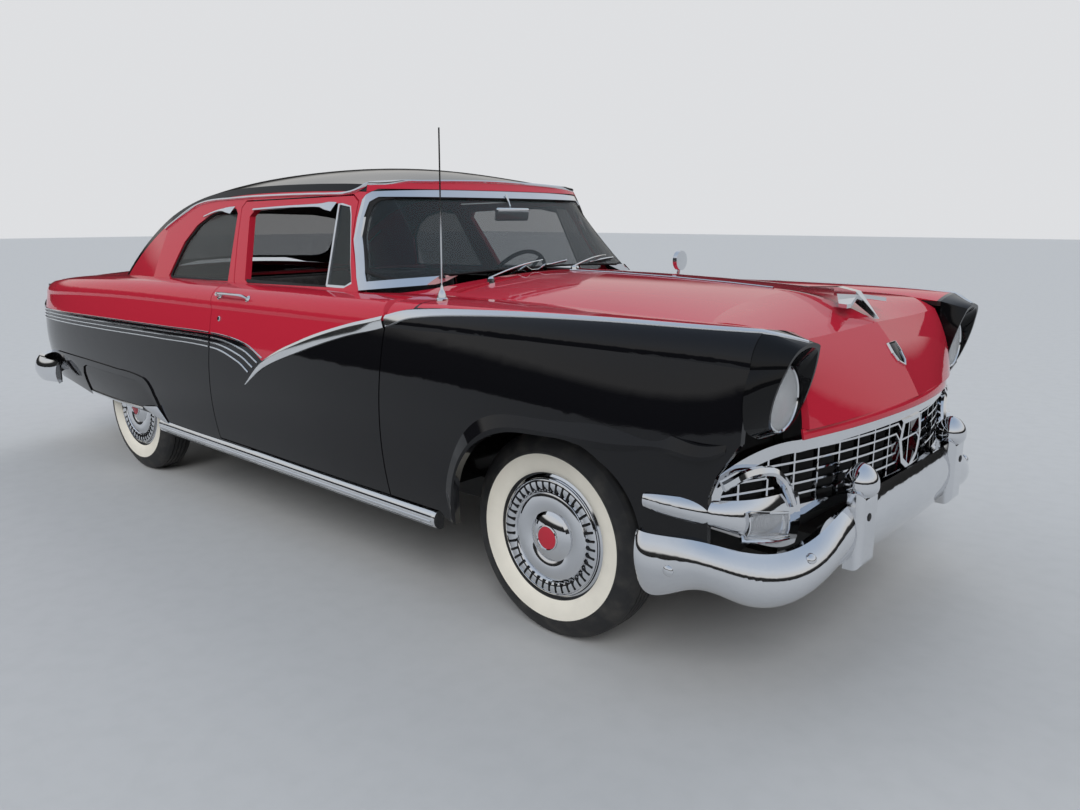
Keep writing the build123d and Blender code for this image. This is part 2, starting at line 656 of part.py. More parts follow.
def lamp_housing():
    """The hooded front end of a fender, hollow around its lamp."""
    body = loft_of([lamp_wire(LAMP_BACK, 2334.3, 0), lamp_wire(LAMP_FRONT, VISOR_X, VISOR_LEAN)])
    body = body & box(2334.3, 2500, 599, 1000, 740, 1100)
    ring = [(math.cos(math.radians(a)), math.sin(math.radians(a))) for a in range(-130, 231, 36)]
    seat = [(LAMP_X, LAMP_Y + 94 * c, LAMP_Z + 94 * s) for c, s in ring]
    back = Wire([arc(seat[n], seat[n + 1], seat[(n + 2) % 10]) for n in range(0, 10, 2)])
    hood_space = loft_of([back, lamp_wire(LAMP_FRONT, VISOR_X + 3, VISOR_LEAN, 0.93)])
    body = body - hood_space
    return both(body)


def headlamp():
    """The domed lens of a sealed lamp."""
    r = LENS_R
    profile = Wire([
        arc((0, 22, 0), (r * 0.5, 17.5, 0), (r, 2, 0)), line((r, 2, 0), (r, 0, 0)), line((r, 0, 0), (0, 0, 0)),
        line((0, 0, 0), (0, 22, 0)),
    ])
    lens = Solid.revolve(Face(profile), 360, Axis.Y).rotate(Axis.Z, -90)
    return both(lens.moved(Location((LAMP_X + 0.3, LAMP_Y, LAMP_Z))))


Rail = namedtuple("Rail", "x y turn low high bulge depth")
FRONT_BUMPER = (
    Rail(2072, 938, 82, 385, 505, 14, 16), Rail(2225, 904, 68, 360, 500, 32, 22),
    Rail(2332, 832, 46, 328, 474, 44, 26), Rail(2402, 712, 22, 304, 456, 52, 28),
    Rail(2440, 600, 8, 335, 482, 46, 26), Rail(2454, 500, 4, 358, 520, 36, 20),
    Rail(2464, 400, 2, 366, 546, 30, 15), Rail(2474, 200, 0, 364, 556, 25, 13), Rail(2475, 0, 0, 364, 556, 25, 13),
)
REAR_BUMPER = (
    Rail(-1960, 922, 94, 402, 516, 12, 14), Rail(-2180, 912, 104, 392, 528, 24, 20),
    Rail(-2350, 856, 124, 386, 536, 34, 26), Rail(-2432, 700, 158, 384, 540, 38, 26),
    Rail(-2450, 430, 176, 384, 544, 38, 26), Rail(-2454, 0, 180, 384, 544, 38, 26),
)
LAMP_POD = (
    Rail(2088, 934, 82, 572, 606, 6, 10), Rail(2200, 905, 70, 548, 612, 18, 22),
    Rail(2290, 838, 48, 516, 606, 24, 34), Rail(2345, 720, 24, 462, 600, 20, 44), Rail(2368, 590, 8, 440, 592, 12, 50),
)


def rail_wire(r, side=1):
    """A bulged bar's cross-section, standing square to the bar's run."""
    turn = math.radians(r.turn)
    out = (math.cos(turn), side * math.sin(turn))

    def at(depth, z):
        return (r.x + out[0] * depth, side * r.y + out[1] * depth, z)

    mid = (r.low + r.high) / 2
    return Wire([
        arc(at(0, r.low), at(r.bulge, mid), at(0, r.high)), line(at(0, r.high), at(-r.depth, r.high - 8)),
        line(at(-r.depth, r.high - 8), at(-r.depth, r.low + 8)), line(at(-r.depth, r.low + 8), at(0, r.low)),
    ])


def whole_rail(rows):
    """A bar that runs right across the car, cut back where it lies against the body."""
    bar = loft_of([rail_wire(r) for r in rows] + [rail_wire(r, -1) for r in reversed(rows[:-1])])
    return (bar - BODY_SOLID - mirrored(BODY_SOLID) - tail_panel()).solids().sort_by(SortBy.VOLUME)[-1]


def lamp_pods():
    """The pods below the headlamps that carry the parking lamps."""
    return both((loft_of([rail_wire(r) for r in LAMP_POD]) - BODY_SOLID).solids().sort_by(SortBy.VOLUME)[-1])


GUARD_Y = 400
GUARD_FRONT_X = 2506
GUARD_SIZE = (50, 118, 226)
GUARD_BASE_Z = 346
KNOB_R = 50
KNOB_BASE = 554
KNOB_Z = 592
KNOB_TOP = 652


def front_guards(bumper):
    """Upright blocks on the bumper, each under a pointed knob that clears the bumper's top edge."""
    depth, width, height = GUARD_SIZE
    block = Pos(GUARD_FRONT_X - depth / 2, GUARD_Y, GUARD_BASE_Z + height / 2) * Box(depth, width, height)
    block = fillet(block.edges().group_by(Axis.X)[-1], 24) - bumper
    shoulder, tip = Vector(KNOB_R, KNOB_Z, 0), Vector(0, KNOB_TOP, 0)
    dome = Edge.make_spline([shoulder, Vector(38, KNOB_TOP - 25, 0), tip], tangents=[Vector(0, 1, 0), Vector(-1, 0.2, 0)])
    profile = Wire([
        line((0, KNOB_BASE, 0), (32, KNOB_BASE, 0)),
        arc((32, KNOB_BASE, 0), (45, KNOB_BASE + 13, 0), (KNOB_R, KNOB_Z, 0)), dome,
        line((0, KNOB_TOP, 0), (0, KNOB_BASE, 0)),
    ])
    knob = Solid.revolve(Face(profile), 360, Axis.Y).rotate(Axis.X, 90).rotate(Axis.Z, 40)
    knob = knob.moved(Location((LENGTH / 2 - KNOB_R, GUARD_Y, 0)))
    return both((block.solids().sort_by(SortBy.VOLUME)[-1] + knob).solids().sort_by(SortBy.VOLUME)[-1])


def rear_guards(bumper):
    """The two upright guards on the rear bumper."""
    block = Pos(-2485, 430, 470) * Box(72, 92, 220)
    block = fillet(block.edges().group_by(Axis.X)[0], 22)
    return both((block - bumper).solids().sort_by(SortBy.VOLUME)[-1])


SURROUND_SCRAP = 20000
GRILLE_R = 2000
GRILLE_AXIS_X = 460


def grille_band(outside, inside):
    """The curved sheet that the grille lies in."""
    ring = Solid.make_cylinder(GRILLE_R + outside, 500, Plane((GRILLE_AXIS_X, 0, 400)))
    return ring - Solid.make_cylinder(GRILLE_R + inside, 500, Plane((GRILLE_AXIS_X, 0, 400)))


SURROUND_OUT = ((0, 752), [((300, 750), (600, 738)), ((760, 718), (862, 668)), ((880, 640), (884, 600)),
                           ((880, 560),), ((590, 520),), ((0, 524),)])
SURROUND_IN = ((0, 718), [((300, 716), (598, 703)), ((740, 686), (830, 642)), ((842, 625), (846, 602)),
                          ((836, 588),), ((588, 552),), ((0, 556),)])


def grille_surround(pods):
    """The bright ring around the grille, in two pieces that the pods part."""
    outer = outline_prism(*SURROUND_OUT, 2100, 2600) - outline_prism(*SURROUND_IN, 2100, 2600)
    half = grille_band(0, -34) & outer
    ring = half + mirrored(half) - pods
    return Compound([piece for piece in ring.solids() if piece.volume > SURROUND_SCRAP])


GRILLE_PITCH_Z = 31
GRILLE_PITCH_Y = 92
GRILLE_SHIELD = [(0, 540), (70, 580), (96, 650), (74, 722), (-74, 722), (-96, 650), (-70, 580)]


def grille(pods, bumper):
    """Thin level bars and uprights, with a plain shield frame in the middle."""
    opening = outline_prism(*SURROUND_IN, 2100, 2600)
    opening = opening + mirrored(opening)
    bars = [box(2000, 2600, -900, 900, 578 + n * GRILLE_PITCH_Z, 584 + n * GRILLE_PITCH_Z) for n in range(5)]
    uprights = [box(2000, 2600, s * (142 + n * GRILLE_PITCH_Y) - 3, s * (142 + n * GRILLE_PITCH_Y) + 3, 530, 760)
                for n in range(8) for s in (-1, 1)]
    lattice = bars[0].fuse(*bars[1:], *uprights)
    mesh = grille_band(-8, -20) & lattice & opening
    shield_out, shield_in = (front_prism(points, 2400, 2560) for points in (GRILLE_SHIELD, grown(GRILLE_SHIELD, -18)))
    shield = grille_band(6, -20) & (shield_out - shield_in)
    cross = box(2400, 2560, -3, 3, 550, 718) + box(2400, 2560, -90, 90, 647, 653)
    cross = grille_band(-2, -20) & cross & shield_out
    joined = mesh - (grille_band(20, -40) & shield_in) + (shield & opening) + (cross & opening) - pods - bumper
    return joined.solids().sort_by(SortBy.VOLUME)[-1]


def tail_lamps():
    """The round tail lamps."""
    ring = Pos(TAIL_X - 38, 712, 800) * Rot(0, 90, 0) * Cylinder(78, 36)
    return both(fillet(ring.edges().group_by(Axis.X)[0], 14))


def rocker(quarter):
    """The bright sill moulding under one side."""
    def section(x, z):
        return Wire([
            line((x, 887.3, z), (x, 905, z)), arc((x, 905, z), (x, 930, z + 26), (x, 914, z + 66)),
            line((x, 914, z + 66), (x, 887.3, z + 70)), line((x, 887.3, z + 70), (x, 887.3, z)),
        ])

    moulding = loft_of([section(-735, 318), section(1238, 292)]) - quarter
    return both(moulding.solids().sort_by(SortBy.VOLUME)[-1])


FLOOR_Z = 345
HEEL_X = -620
SEAT_FLOOR_Z = 482
TRUNK_FLOOR_Z = 600
TUNNEL_Y = 92
SILL_TOP = 358
TUNNEL_Z = 482


def floor_pan():
    """Cabin floor, sills, heel board, trunk floor and the two wheel housings."""
    t = 12
    half = box(HEEL_X, 1009, TUNNEL_Y - t, 792, FLOOR_Z, FLOOR_Z + t) + box(-735, 1009, 780, 887, 300, SILL_TOP)
    half = half + box(HEEL_X, 1009, TUNNEL_Y - t, TUNNEL_Y, FLOOR_Z, TUNNEL_Z)
    half = half + box(HEEL_X, 1009, 0, TUNNEL_Y, TUNNEL_Z - t, TUNNEL_Z)
    half = half + box(HEEL_X - t, HEEL_X, TUNNEL_Y - t, 792, FLOOR_Z, SEAT_FLOOR_Z)
    half = half + box(-1162, HEEL_X, 0, 572, SEAT_FLOOR_Z - t, SEAT_FLOOR_Z)
    half = half + box(-800, HEEL_X, 560, 792, SEAT_FLOOR_Z - t, SEAT_FLOOR_Z)
    half = half + box(-1162, -1150, 0, 572, SEAT_FLOOR_Z - t, TRUNK_FLOOR_Z)
    half = half + box(-2359.7, -1150, 0, 572, TRUNK_FLOOR_Z - t, TRUNK_FLOOR_Z)
    half = half + box(-1762, -800, 560, 572, SEAT_FLOOR_Z - t, 760) + box(-1762, -800, 560, 840, 748, 760)
    half = half + box(-812, -800, 560, 840, SEAT_FLOOR_Z - t, 760) + box(-1762, -1750, 560, 800, SEAT_FLOOR_Z, 760)
    half = half + box(-2359.7, -1750, 560, 730, TRUNK_FLOOR_Z - t, TRUNK_FLOOR_Z)
    return half + mirrored(half)


def dashboard():
    """The dashboard, with the column's opening."""
    profile = [(690, 800), (700, 985), (730, 1018), (975, 1018), (975, 900), (760, 800)]
    desk = side_prism(profile, 0, 760)
    plan = [(600, -1), (1000, -1), (990, 300), (955, 500), (880, 650), (740, 762), (600, 762)]
    half = desk & plan_prism(plan, 700, 1100)
    return half + mirrored(half) - steering_column(24.2)


WHEEL_AT = (395, 365, 985)
COLUMN_TILT = 62


def column_place():
    """The plane at the middle of the steering wheel, square to the column."""
    tilt = math.radians(COLUMN_TILT)
    return Plane(origin=WHEEL_AT, z_dir=Vector(-math.sin(tilt), 0, math.cos(tilt)))


def steering_wheel():
    """The wheel: rim, three spokes, hub and horn ring."""
    rim_ring = Solid.make_torus(212, 9.5)
    spokes = [Pos(0, 0, -4) * Rot(0, 0, a) * Pos(106, 0, 0) * Box(212, 20, 7) for a in (0, 120, 240)]
    hub = Solid.make_cylinder(38, 50, Plane((0, 0, -40)))
    horn = Solid.make_torus(105, 4, Plane((0, 0, 2)))
    wheel = rim_ring.fuse(*[s.solid() for s in spokes], hub, horn)
    return wheel.rotate(Axis.Z, 90).moved(column_place().location)


def steering_column(radius=24):
    """The column's tube down to the firewall."""
    tube = Solid.make_cylinder(radius, 700, Plane((0, 0, -740.2)))
    return tube.moved(column_place().location) & box(0, 1009.7, 0, 800, 300, 1200)


def bench(x0, x1, back_x, top, half, cushion_z, base_z=430):
    """A bench seat: a cushion and a raked back in one."""
    profile = [
        (x1, base_z), (x1, cushion_z), (back_x + 40, cushion_z - 30), (back_x - 40, top), (back_x - 150, top - 12),
        (x0, base_z),
    ]
    body = side_prism(profile, -half, half)
    return fillet(body.edges().filter_by(GeomType.LINE), 24)


def front_seat():
    """The front bench on its legs."""
    seat = bench(-455, 140, -300, 1085, 690, 700, TUNNEL_Z + 3)
    legs = box(-380, 80, 150, 560, FLOOR_Z + 12, 520)
    return seat + legs + mirrored(legs)


def rear_seat():
    """The rear bench."""
    return bench(-1145, -640, -990, 1050, 555, 690, SEAT_FLOOR_Z)


def engine():
    """The engine as one plain block."""
    return box(1130, 1960, -250, 250, 380, 900)


def radiator():
    """The core, set in a support panel that closes the nose behind the grille."""
    support = body_half(SKIN + 14) & box(2150, 2158, 0, 1000, 338.3, 990)
    return box(2120, 2190, -330, 330, 328.3, 900) + support + mirrored(support)


def fuel_tank():
    """The tank under the trunk floor."""
    tank = box(-2244.8, -1700, -390, 390, 346, 520)
    return fillet(tank.edges(), 20)


def exhaust():
    """Downpipe, pipe, muffler and tailpipe."""
    y = -300
    pipe = cylinder_between((1400, y + 60, 400), (1250, y, 232), 24) + Pos(1250, y, 232) * Sphere(24)
    pipe = pipe + cylinder_between((1250, y, 232), (-400, y, 232), 24)
    muffler = cylinder_between((-390, y, 276), (-900, y, 276), 62)
    tail = cylinder_between((-880, y, 250), (-2380, y - 30, 268), 20)
    return pipe + muffler + tail - engine()


def driveshaft(engine_block, axle):
    """The shaft from the engine block to the axle's nose."""
    shaft = cylinder_between((1150, 0, 424), (REAR_AXLE_X + 140, 0, TYRE_R + 3), 36)
    return shaft - engine_block - axle


def rear_axle():
    """Axle tube, differential, leaf springs and drums' backs in one."""
    tube = cylinder_between((REAR_AXLE_X, -650, TYRE_R), (REAR_AXLE_X, 650, TYRE_R), 38)
    pot = Pos(REAR_AXLE_X, 0, TYRE_R) * Sphere(135)
    nose = cylinder_between((REAR_AXLE_X, 0, TYRE_R), (REAR_AXLE_X + 150, 0, TYRE_R), 60)
    axle = tube + pot + nose
    for side in (-1, 1):
        spring = box(REAR_AXLE_X - 620, REAR_AXLE_X + 620, side * 500 - 25, side * 500 + 25, 276, 306)
        drum = Pos(REAR_AXLE_X, side * 650, TYRE_R) * Rot(90, 0, 0) * Cylinder(130, 16)
        stub = Pos(REAR_AXLE_X, side * 680, TYRE_R) * Rot(90, 0, 0) * Cylinder(SPINDLE_R, 76)
        axle = axle + spring + drum + stub
    return axle


def front_suspension():
    """Cross-member with the upper and lower arms that carry the uprights."""
    half = box(FRONT_AXLE_X - 70, FRONT_AXLE_X + 70, 0, 405, 200, 250)
    for z in (236, 454):
        half = half + box(FRONT_AXLE_X - 30, FRONT_AXLE_X + 30, 395, KINGPIN_Y + 4, z - 14, z + 14 - 0.3)
    half = half + box(FRONT_AXLE_X - 60, FRONT_AXLE_X + 60, 480, 520, 222, 470)
    return half + mirrored(half)


def antenna():
    """The mast on the right fender."""
    mast = cylinder_between((1160, -800, 1070), (1165, -802, 1617), 2.5)
    return (mast + Pos(1160, -800, 1066) * Sphere(17) - mirrored(OUTER)).solids().sort_by(SortBy.VOLUME)[-1]


def door_mirror():
    """The round mirror on its stalk, left of the cowl."""
    arm = cylinder_between((1040, 838, 1030), (1046, 842, 1110), 8)
    head = Pos(1048, 842, 1130) * Rot(0, 90, 0) * Cylinder(46, 22)
    return (arm + head - OUTER).solids().sort_by(SortBy.VOLUME)[-1]


ORNAMENT_SIDE = [
    (1978, 1098), (2090, 1106), (2200, 1112), (2262, 1100), (2336, 1016), (2322, 1016), (2250, 1074), (2180, 1086),
]
ORNAMENT_PLAN = [(1976, 0), (2080, 14), (2190, 22), (2262, 20), (2340, 0)]
ORNAMENT_WING = [(2190, 0), (2262, 150), (2292, 158), (2300, 146), (2262, 0)]


def hood_ornament(panel):
    """A slim tail blade, two short wings and a nose that comes down on the hood's ridge."""
    plan = ORNAMENT_PLAN + [(x, -y) for x, y in reversed(ORNAMENT_PLAN[1:-1])]
    blade = side_prism(ORNAMENT_SIDE, -40, 40) & plan_prism(plan, 1000, 1200)
    wing = front_prism([(-5, 1094), (160, 1070), (160, 1058), (-5, 1080)], 2100, 2400)
    wing = wing & plan_prism(ORNAMENT_WING, 1000, 1200)
    post = box(2150, 2230, -6, 6, 1050, 1100)
    return (blade + wing + mirrored(wing) + post - panel).solids().sort_by(SortBy.VOLUME)[-1]


def quarter_glass(panel):
    """The fixed side glasses behind the doors."""
    glass = (house_half(12) - house_half(12 + GLASS)) & side_prism(grown(QUARTER_WINDOW, -0.3), 400, 1000)
    glass = glass - panel
    return both(glass.solids().sort_by(SortBy.VOLUME)[-1])


def wheel():
    """The rim and its cap as one."""
    return rim() + hubcap()


def main():
    """Build every piece and write it to parts/."""
    pieces = {}
    pieces["front_bumper"] = whole_rail(FRONT_BUMPER)
    pieces["rear_bumper"] = whole_rail(REAR_BUMPER)
    pieces["front_guards"] = front_guards(pieces["front_bumper"])
    pieces["rear_guards"] = rear_guards(pieces["rear_bumper"])
    pieces["lamp_pods"] = lamp_pods()
    pieces["grille_surround"] = grille_surround(pieces["lamp_pods"])
    pieces["grille"] = grille(pieces["lamp_pods"], pieces["front_bumper"])
    for name, left in (
        ("front_fender", front_fender(pieces["grille_surround"])), ("quarter_panel", quarter_panel()), ("door", door()),
        ("knuckle", knuckle()),
    ):
        pieces[f"{name}_left"], pieces[f"{name}_right"] = left, mirrored(left)
    pieces["wheel_skirts"] = wheel_skirts()
    pieces["rocker_mouldings"] = rocker(pieces["quarter_panel_left"])
    pieces["quarter_glass"] = quarter_glass(pieces["quarter_panel_left"])
    pieces["roof"] = roof()
    pieces["rear_window"] = rear_window()
    pieces["windshield_frame"] = windshield_frame()
    pieces["windshield"] = windshield()
    half_hood = hood_half()
    pieces["hood"] = hood(half_hood)
    pieces["hood_ornament"] = hood_ornament(pieces["hood"])
    pieces["cowl"] = cowl(half_hood)
    pieces["rear_deck"] = rear_deck()
    pieces["trunk_lid"] = trunk_lid()
    pieces["tail_panel"] = tail_panel()
    pieces["plate_bracket"] = plate_bracket()
    pieces["tail_lamps"] = tail_lamps()
    pieces["lamp_housings"] = lamp_housing()
    pieces["headlamps"] = headlamp()
    pieces["antenna"] = antenna()
    pieces["mirror"] = door_mirror()
    pieces["floor_pan"] = floor_pan()
    pieces["dashboard"] = dashboard()
    pieces["steering_wheel"] = steering_wheel()
    pieces["steering_column"] = steering_column()
    pieces["front_seat"] = front_seat()
    pieces["rear_seat"] = rear_seat()
    pieces["chassis"] = chassis(pieces["front_bumper"].fuse(pieces["rear_bumper"]))
    pieces["engine"] = engine()
    pieces["radiator"] = radiator()
    pieces["fuel_tank"] = fuel_tank()
    pieces["exhaust"] = exhaust()
    pieces["rear_axle"] = rear_axle()
    pieces["driveshaft"] = driveshaft(pieces["engine"], pieces["rear_axle"])
    pieces["front_suspension"] = front_suspension()
    corners = {
        "front_left": (FRONT_AXLE_X, TRACK_FRONT / 2), "front_right": (FRONT_AXLE_X, -TRACK_FRONT / 2),
        "rear_left": (REAR_AXLE_X, TRACK_REAR / 2), "rear_right": (REAR_AXLE_X, -TRACK_REAR / 2),
    }
    for corner, (x, y) in corners.items():
        pieces[f"tyre_{corner}"] = placed(tyre(), x, y)
        pieces[f"wheel_{corner}"] = placed(wheel(), x, y)
    for name, shape in pieces.items():
        solids = shape.solids()
        print(name, len(solids), round(sum(s.volume for s in solids) / 1e6, 2), flush=True)
        export_step(shape, f"parts/{name}.step")


if __name__ == "__main__":
    main()
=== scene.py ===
"""The finished look of a 1950s two-door car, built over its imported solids.

Lengths are metres in the car's own frame: +X forward, +Y to the car's left, +Z up, road at zero.
"""

import logging
import math
from dataclasses import dataclass
from enum import Enum
from typing import Sequence

import bmesh
import bpy
from mathutils import Euler, Matrix, Vector
from mathutils.bvhtree import BVHTree


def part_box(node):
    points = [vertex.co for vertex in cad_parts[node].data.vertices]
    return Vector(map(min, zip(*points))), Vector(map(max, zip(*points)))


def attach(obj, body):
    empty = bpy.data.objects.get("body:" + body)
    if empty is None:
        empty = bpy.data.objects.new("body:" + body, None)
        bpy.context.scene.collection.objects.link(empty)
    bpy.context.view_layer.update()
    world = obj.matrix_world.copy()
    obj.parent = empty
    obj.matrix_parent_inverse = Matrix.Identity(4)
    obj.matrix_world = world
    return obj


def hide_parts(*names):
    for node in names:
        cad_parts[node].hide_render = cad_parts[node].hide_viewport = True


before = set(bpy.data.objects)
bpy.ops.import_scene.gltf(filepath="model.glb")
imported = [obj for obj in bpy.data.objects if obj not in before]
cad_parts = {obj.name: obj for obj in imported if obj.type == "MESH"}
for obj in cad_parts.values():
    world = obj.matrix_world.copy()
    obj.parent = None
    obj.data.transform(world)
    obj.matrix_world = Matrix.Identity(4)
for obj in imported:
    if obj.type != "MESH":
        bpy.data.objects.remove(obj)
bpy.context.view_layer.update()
log = logging.getLogger("car")

Point = tuple[float, float, float]
Colour = tuple[float, float, float]
Table = tuple[tuple[float, ...], ...]
Seat = tuple[Vector, Vector]

WHEEL_CENTRES: dict[str, Point] = {
    "front_left": (1.650, 0.7365, 0.340),
    "front_right": (1.650, -0.7365, 0.340),
    "rear_left": (-1.284, 0.711, 0.340),
    "rear_right": (-1.284, -0.711, 0.340),
}
UNDERCOAT: Colour = (0.010, 0.010, 0.010)
ROAD_DUST: Colour = (0.20, 0.18, 0.15)
BOLT_HEAD: Table = (
    (-0.004, 0.0), (-0.004, 0.0155), (0.002, 0.0155), (0.006, 0.0125), (0.0085, 0.007), (0.009, 0.0),
)


class Side(Enum):
    """The two sides of the car."""

    LEFT = 1
    RIGHT = -1

    @property
    def word(self) -> str:
        """The side's name as node names carry it."""
        return self.name.lower()

    @property
    def out(self) -> Vector:
        """The way out from the car on this side."""
        return Vector((0, self.value, 0))

    def of(self, place: Sequence[float]) -> Vector:
        """A place that is given for the left side, on this side."""
        return Vector((place[0], place[1] * self.value, place[2]))


class Value:
    """A shader socket that arithmetic works on."""

    def __init__(self, graph: "Graph", socket: bpy.types.NodeSocket) -> None:
        """Keep the socket and the graph that it belongs to."""
        self.graph = graph
        self.socket = socket

    def _do(self, operation: str, *others: "Value | float") -> "Value":
        """Add one Math node that has this value as its first input."""
        return self.graph.value("ShaderNodeMath", {"operation": operation}, dict(enumerate((self, *others))))

    def __add__(self, other: "Value | float") -> "Value":
        """Sum."""
        return self._do("ADD", other)

    __radd__ = __add__

    def __sub__(self, other: "Value | float") -> "Value":
        """Difference."""
        return self._do("SUBTRACT", other)

    def __rsub__(self, other: float) -> "Value":
        """Difference the other way round."""
        return self * -1.0 + other

    def __mul__(self, other: "Value | float") -> "Value":
        """Product."""
        return self._do("MULTIPLY", other)

    __rmul__ = __mul__

    def __truediv__(self, other: "Value | float") -> "Value":
        """Quotient."""
        return self._do("DIVIDE", other)

    def magnitude(self) -> "Value":
        """Absolute value."""
        return self._do("ABSOLUTE")

    def sine(self) -> "Value":
        """Sine of an angle in radians."""
        return self._do("SINE")

    def root(self) -> "Value":
        """Square root."""
        return self._do("SQRT")

    def above(self, limit: "Value | float") -> "Value":
        """One where the value is over the limit."""
        return self._do("GREATER_THAN", limit)

    def below(self, limit: "Value | float") -> "Value":
        """One where the value is under the limit."""
        return self._do("LESS_THAN", limit)

    def larger(self, other: "Value | float") -> "Value":
        """The greater of two values."""
        return self._do("MAXIMUM", other)

    def rise(self, start: float, end: float) -> "Value":
        """A smooth step from 0 at start to 1 at end."""
        sockets = {"Value": self, "From Min": start, "From Max": end}
        return self.graph.value("ShaderNodeMapRange", {"interpolation_type": "SMOOTHSTEP"}, sockets)

    def curve(self, points: Table) -> "Value":
        """A piecewise straight function of this value.

        Args:
            points: (input, output) pairs, in order.

        Returns:
            The function's value.
        """
        low, high, top = points[0][0], points[-1][0], max(y for _, y in points)
        spread = [((x - low) / (high - low), y / top) for x, y in points]
        place = (self - low) / (high - low)
        return self.graph.value("ShaderNodeFloatCurve", {"points": spread}, {"Value": place}) * top


class Graph:
    """A node tree that a finish or the sky is made in."""

    def __init__(self, tree: bpy.types.NodeTree) -> None:
        """Keep the tree."""
        self.tree = tree

    def node(self, kind: str, settings: dict | None = None, sockets: dict | None = None) -> bpy.types.Node:
        """Add a node.

        Args:
            kind: the node's type.
            settings: its properties, a ramp's "stops" or a curve's "points", which are set first.
            sockets: values or links of its inputs, by name or number.

        Returns:
            The new node.
        """
        made = self.tree.nodes.new(kind)
        for key, item in (settings or {}).items():
            if key == "stops":
                ramp = made.color_ramp.elements
                while len(ramp) < len(item):
                    ramp.new(0.5)
                for stop, (position, colour) in zip(ramp, item):
                    stop.position = position
                    stop.color = (*colour, 1.0)
            elif key == "points":
                line = made.mapping.curves[0].points
                while len(line) < len(item):
                    line.new(0.5, 0.5)
                for knot, place in zip(line, item):
                    knot.location = place
                    knot.handle_type = "VECTOR"
                made.mapping.update()
            else:
                setattr(made, key, item)
        for key, item in (sockets or {}).items():
            self.feed(made.inputs[key], item)
        return made

    def value(
        self, kind: str, settings: dict | None = None, sockets: dict | None = None, output: int | str = 0,
    ) -> Value:
        """Add a node and give one of its outputs."""
        return Value(self, self.node(kind, settings, sockets).outputs[output])

    def feed(self, slot: bpy.types.NodeSocket, item: "Value | float | Sequence[float]") -> None:
        """Link a value to a socket, or set the socket to a constant.

        Args:
            slot: the socket.
            item: the value or the constant.
        """
        if isinstance(item, Value):
            self.tree.links.new(item.socket, slot)
        elif slot.type == "RGBA":
            slot.default_value = (*item, 1.0)[:4]
        else:
            slot.default_value = item

    def coordinates(self, output: str = "Object") -> Value:
        """One output of a Texture Coordinate node."""
        return self.value("ShaderNodeTexCoord", output=output)

    def parts(self, vector: Value) -> tuple[Value, Value, Value]:
        """A vector's X, Y and Z."""
        split = self.node("ShaderNodeSeparateXYZ", sockets={0: vector})
        return tuple(Value(self, split.outputs[n]) for n in range(3))

    def mix(self, factor: "Value | float", first: "Value | Colour", second: "Value | Colour") -> Value:
        """A colour between two, by a factor."""
        return self.value("ShaderNodeMix", {"data_type": "RGBA"}, {0: factor, 6: first, 7: second}, 2)

    def noise(self, scale: float, detail: float = 2.0, stretch: Point = (1.0, 1.0, 1.0)) -> Value:
        """Noise from 0 to 1 over the object's own coordinates, which may be stretched."""
        place = self.value("ShaderNodeMapping", sockets={"Vector": self.coordinates(), "Scale": stretch})
        return self.value("ShaderNodeTexNoise", sockets={"Vector": place, "Scale": scale, "Detail": detail})


class Finish(Graph):
    """The node tree of one material, around its Principled shader."""

    def __init__(self, name: str) -> None:
        """Start a material.

        Args:
            name: what it is called.
        """
        self.material = bpy.data.materials.new(name)
        self.material.use_nodes = True
        super().__init__(self.material.node_tree)
        self.shader = next(n for n in self.tree.nodes if n.type == "BSDF_PRINCIPLED")

    def set(self, **sockets: object) -> None:
        """Set the shader's sockets; underscores stand for spaces."""
        for key, item in sockets.items():
            self.feed(self.shader.inputs[key.replace("_", " ")], item)

    def bump(self, height: Value, distance: float, strength: float = 1.0) -> None:
        """Raise the surface's shading by a height."""
        sockets = {"Strength": strength, "Distance": distance, "Height": height}
        self.feed(self.shader.inputs["Normal"], self.value("ShaderNodeBump", None, sockets, "Normal"))


def tinted(colour: Colour, share: float) -> Colour:
    """A colour made darker or paler."""
    return tuple(min(1.0, c * share) for c in colour)


@dataclass(frozen=True)
class Coat:
    """A named finish; each kind of it paints its own node tree."""

    name: str

    def material(self) -> bpy.types.Material:
        """Make the finish.

        Returns:
            The new material.
        """
        g = Finish(self.name)
        self.paint(g)
        return g.material

    def paint(self, g: Finish) -> None:
        """Set the shader of a new finish."""
        raise NotImplementedError(self.name)


@dataclass(frozen=True)
class Enamel(Coat):
    """Glossy paint with a faint orange peel and a little haze low down."""

    colour: Colour
    roughness: float = 0.035
    shine: float = 0.36
    splash: tuple[float, float] = (0.25, 0.75)
    haze: float = 0.10
    peel: float = 0.00005

    def paint(self, g: Finish) -> None:
        """Paint all over in one slightly uneven colour."""
        self.gloss(g, g.mix(g.noise(1.3), tinted(self.colour, 0.9), self.colour))

    def gloss(self, g: Finish, colour: "Value | Colour") -> None:
        """Give a finish the gloss of this paint.

        Args:
            g: the finish.
            colour: its colour before the haze.
        """
        z = g.parts(g.coordinates())[2]
        haze = (1 - z.rise(*self.splash)) * g.noise(5.0, 4.0) * self.haze
        g.set(Base_Color=g.mix(haze * 0.35, colour, ROAD_DUST), Roughness=haze + self.roughness)
        g.set(Specular_IOR_Level=self.shine)
        g.bump(g.noise(260.0, 1.0), self.peel, 0.35)


